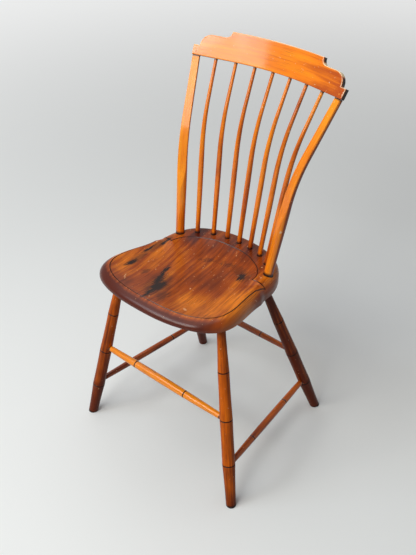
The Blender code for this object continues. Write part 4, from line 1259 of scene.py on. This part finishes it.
def make_legs_and_stretchers(finishes):
    """Makes the legs and stretchers, and returns the cutters of the legs' sockets in the seat."""
    legs = {name: Leg(placing, side, trim) for name, placing, side, trim, _ in LEGS}
    leg_cutters = {name: [] for name in legs}
    for number, (place, ends, shape, tone) in enumerate(STRETCHERS, start=STRETCHER_NUMBER):
        name = f"stretcher_{place}"
        pair = [legs[end] for end in ends]
        start, axis, rings, (distances, radii), sockets = stretcher_shape(pair, *shape)
        mesh = turned_mesh(name, distances, radii, STRETCHER_SIDES)
        obj = add_object(f"fine_{name}", mesh, start, axis)
        mouths = (distances[0] + STRETCHER_TENON, distances[-1] - STRETCHER_TENON)
        mouths = [(mouth, STRETCHER_END_REACH) for mouth in mouths]
        mark_turned(obj.data, number, rings, mouths, ([0.0], [tone]))
        dress(obj, name, finishes["stretcher"])
        for end, socket in zip(ends, sockets):
            leg_cutters[end].append(socket_cutter(*socket))
    seat_cutters = []
    places, tones = LEG_TONE
    for number, (place, *_, own_tone) in enumerate(LEGS, start=LEG_NUMBER):
        name, leg = f"leg_{place}", legs[place]
        obj = add_object(f"fine_{name}", leg.mesh(name), leg.foot, leg.axis)
        carve(obj, leg_cutters[place])
        own_tones = (places, [tone + own_tone for tone in tones])
        ends = [(leg.mouth, LEG_TOP_REACH), (0.0, LEG_FOOT_REACH)]
        mark_turned(obj.data, number, leg.rings, ends, own_tones)
        dress(obj, name, finishes["leg"])
        start = leg.foot + leg.axis * (leg.mouth - 0.5 * SEAT_THICKNESS)
        seat_cutters.append(socket_cutter(start, leg.foot + leg.axis * leg.end, LEG_SEAT_RADIUS))
    return seat_cutters


def make_pin(name, number, centre, axis, finish):
    half = 0.5 * CREST_THICKNESS + PIN_PROUD
    wall = PIN_RADIUS + PIN_FIT
    stops = [-half, -half + PIN_EDGE, half - PIN_EDGE, half]
    mesh = turned_mesh("pin", stops, [wall - PIN_EDGE, wall, wall, wall - PIN_EDGE], PIN_SIDES)
    obj = add_object(f"fine_{name}", mesh, centre, axis)
    mark_turned(obj.data, number, [], [], ([0.0], [0.0]))
    dress(obj, name, finish)


def make_back(finishes):
    """Makes the spindles, back posts and pins.

    Returns the cutters of the seat and of the crest rail, and where the rods stand on the seat.
    """
    seat_cutters, crest_cutters, stands = [], [], []

    def let_in(rod, base, top, mortise):
        above = rod.base + rod.lower * 2.0 * base
        below = rod.top - rod.upper * 2.0 * top
        seat_cutters.append(socket_cutter(rod.socket_bottom(0.0), above, base))
        crest_cutters.append(socket_cutter(below, rod.top + rod.upper * mortise, top))
        stands.append((rod.base.x, rod.base.y, base))

    for number in range(2 * SPINDLES_EACH_SIDE + 1):
        name = f"spindle_{number + 1}"
        place = number - SPINDLES_EACH_SIDE
        rod = BackMember(place, SPINDLE_INSETS[abs(place)], SPINDLE_KNEE, 0.0)
        obj = add_object(f"fine_{name}", spindle_mesh(name, rod))
        mark_rod(obj.data, SPINDLE_NUMBER + number, rod, SPINDLE_TONE, SPINDLE_BACK_SHADE)
        dress(obj, name, finishes["back"])
        let_in(rod, SPINDLE_RADII[0], SPINDLE_RADII[-1], SPINDLE_MORTISE)
    for number, (place, side) in enumerate((("left", LEFT), ("right", RIGHT))):
        name = f"stile_{place}"
        rod = BackMember(side * (SPINDLES_EACH_SIDE + 1), STILE_INSET, STILE_KNEE, STILE_TURN)
        obj = add_object(f"fine_{name}", stile_mesh(name, rod))
        let_in(rod, STILE_RADII[0], STILE_TENON_RADIUS, STILE_TENON)
        centre = rod.top + rod.upper * PIN_HEIGHT
        make_pin(f"crest_pin_{place}", PIN_NUMBER + number, centre, rod.back, finishes["pin"])
        reach = rod.back * CREST_THICKNESS
        crest_cutters.append(socket_cutter(centre - reach, centre + reach, PIN_RADIUS))
        carve(obj, [socket_cutter(centre - reach, centre + reach, PIN_RADIUS)])
        mark_rod(obj.data, STILE_NUMBER + number, rod, STILE_TONE, STILE_BACK_SHADE)
        dress(obj, name, finishes["back"])
    return seat_cutters, crest_cutters, stands


def make_crest(cutters, finish):
    mesh, flat_points = crest_mesh("crest_rail")
    unbent = kdtree.KDTree(len(flat_points))
    for index, point in enumerate(points_of(mesh)):
        unbent.insert(point, index)
    unbent.balance()
    obj = add_object("fine_crest_rail", mesh)
    carve(obj, cutters)
    mark_crest(obj.data, unbent, flat_points)
    dress(obj, "crest_rail", finish)


def make_chair():
    finishes = {name: wood_finish(name, row, name == "seat") for name, row in FINISHES.items()}
    seat_cutters = make_legs_and_stretchers(finishes)
    rod_sockets, crest_cutters, stands = make_back(finishes)
    seat = add_object("fine_seat", seat_mesh())
    carve(seat, seat_cutters + rod_sockets)
    mark_seat(seat.data, stands)
    dress(seat, "seat", finishes["seat"])
    make_crest(crest_cutters, finishes["crest"])


# Studio


def make_camera():
    """The camera of the photograph, solved from the chair's own lines."""
    camera = bpy.data.cameras.new("camera")
    camera.sensor_fit = "VERTICAL"
    camera.sensor_height = SENSOR_HEIGHT
    camera.angle_y = 2.0 * math.atan(0.5 * PHOTO_HEIGHT / CAMERA_FOCUS)
    camera.clip_start = CLIP_START
    obj = link_object("camera", camera)
    x, y, z = CAMERA_PLACE
    pose = Matrix.Translation((x, y - CHAIR_CENTRE_Y, z))
    for degrees, axis in zip(CAMERA_ANGLES, "ZXZ"):
        pose = pose @ Matrix.Rotation(math.radians(degrees), 4, axis)
    obj.matrix_world = pose
    bpy.context.scene.camera = obj


def softbox(name, place, aim, size, radiance, colour):
    """A rectangular lamp of an even brightness, which the camera doesn't see."""
    lamp = bpy.data.lights.new(name, "AREA")
    lamp.shape = "RECTANGLE"
    lamp.size, lamp.size_y = size
    lamp.energy = radiance * math.pi * size[0] * size[1]
    lamp.color = colour
    obj = link_object(name, lamp)
    obj.location = place
    obj.rotation_euler = (Vector(place) - Vector(aim)).to_track_quat("Z", "Y").to_euler()
    obj.visible_camera = False


def seen_rays(graph):
    """1 for rays from the camera, off mirrors and through glass, and 0 for soft light."""
    path = graph.node("ShaderNodeLightPath", {})
    seen = path.outputs["Is Camera Ray"]
    for ray in ("Is Glossy Ray", "Is Transmission Ray"):
        seen = graph.calc("MAXIMUM", seen, path.outputs[ray])
    return seen


def make_floor():
    """A floor that glows softly far from the chair, and reflects little light onto it."""
    graph = Graph(bpy.data.materials.new("floor"))
    seen = seen_rays(graph)
    place = graph.node("ShaderNodeNewGeometry", {}).outputs["Position"]
    away = graph.vector_calc("LENGTH", place, output="Value")
    far = graph.calc("MULTIPLY", graph.spread(away, *FLOOR_FADE), FLOOR_FAR_GLOW)
    graph.shade({
        "Base Color": graph.mix(seen, FLOOR_BOUNCE, FLOOR_COLOUR),
        "Roughness": FLOOR_ROUGHNESS,
        "Specular IOR Level": FLOOR_SPECULAR,
        "Emission Color": graph.mix(seen, BLACK, graph.mix(far, BLACK, WHITE)),
        "Emission Strength": 1.0,
    })
    mesh = bpy.data.meshes.new("floor")
    signs = ((-1, -1), (1, -1), (1, 1), (-1, 1))
    corners = [(x * FLOOR_REACH, y * FLOOR_REACH, 0.0) for x, y in signs]
    mesh.from_pydata(corners, [], [(0, 1, 2, 3)])
    mesh.materials.append(graph.owner)
    floor = link_object("floor", mesh)


def make_studio():
    scene = bpy.context.scene
    scene.view_settings.view_transform = "Standard"
    make_floor()
    graph = Graph(bpy.data.worlds.new("studio"))
    inputs = {"Value": seen_rays(graph), "To Min": WORLD_STRENGTH, "To Max": BACKDROP_STRENGTH}
    strength = graph.node("ShaderNodeMapRange", inputs).outputs["Result"]
    graph.fill(graph.tree.nodes["Background"], {"Strength": strength, "Color": WHITE})
    scene.world = graph.owner
    for lamp in LAMPS:
        softbox(*lamp)


make_chair()
make_camera()
make_studio()
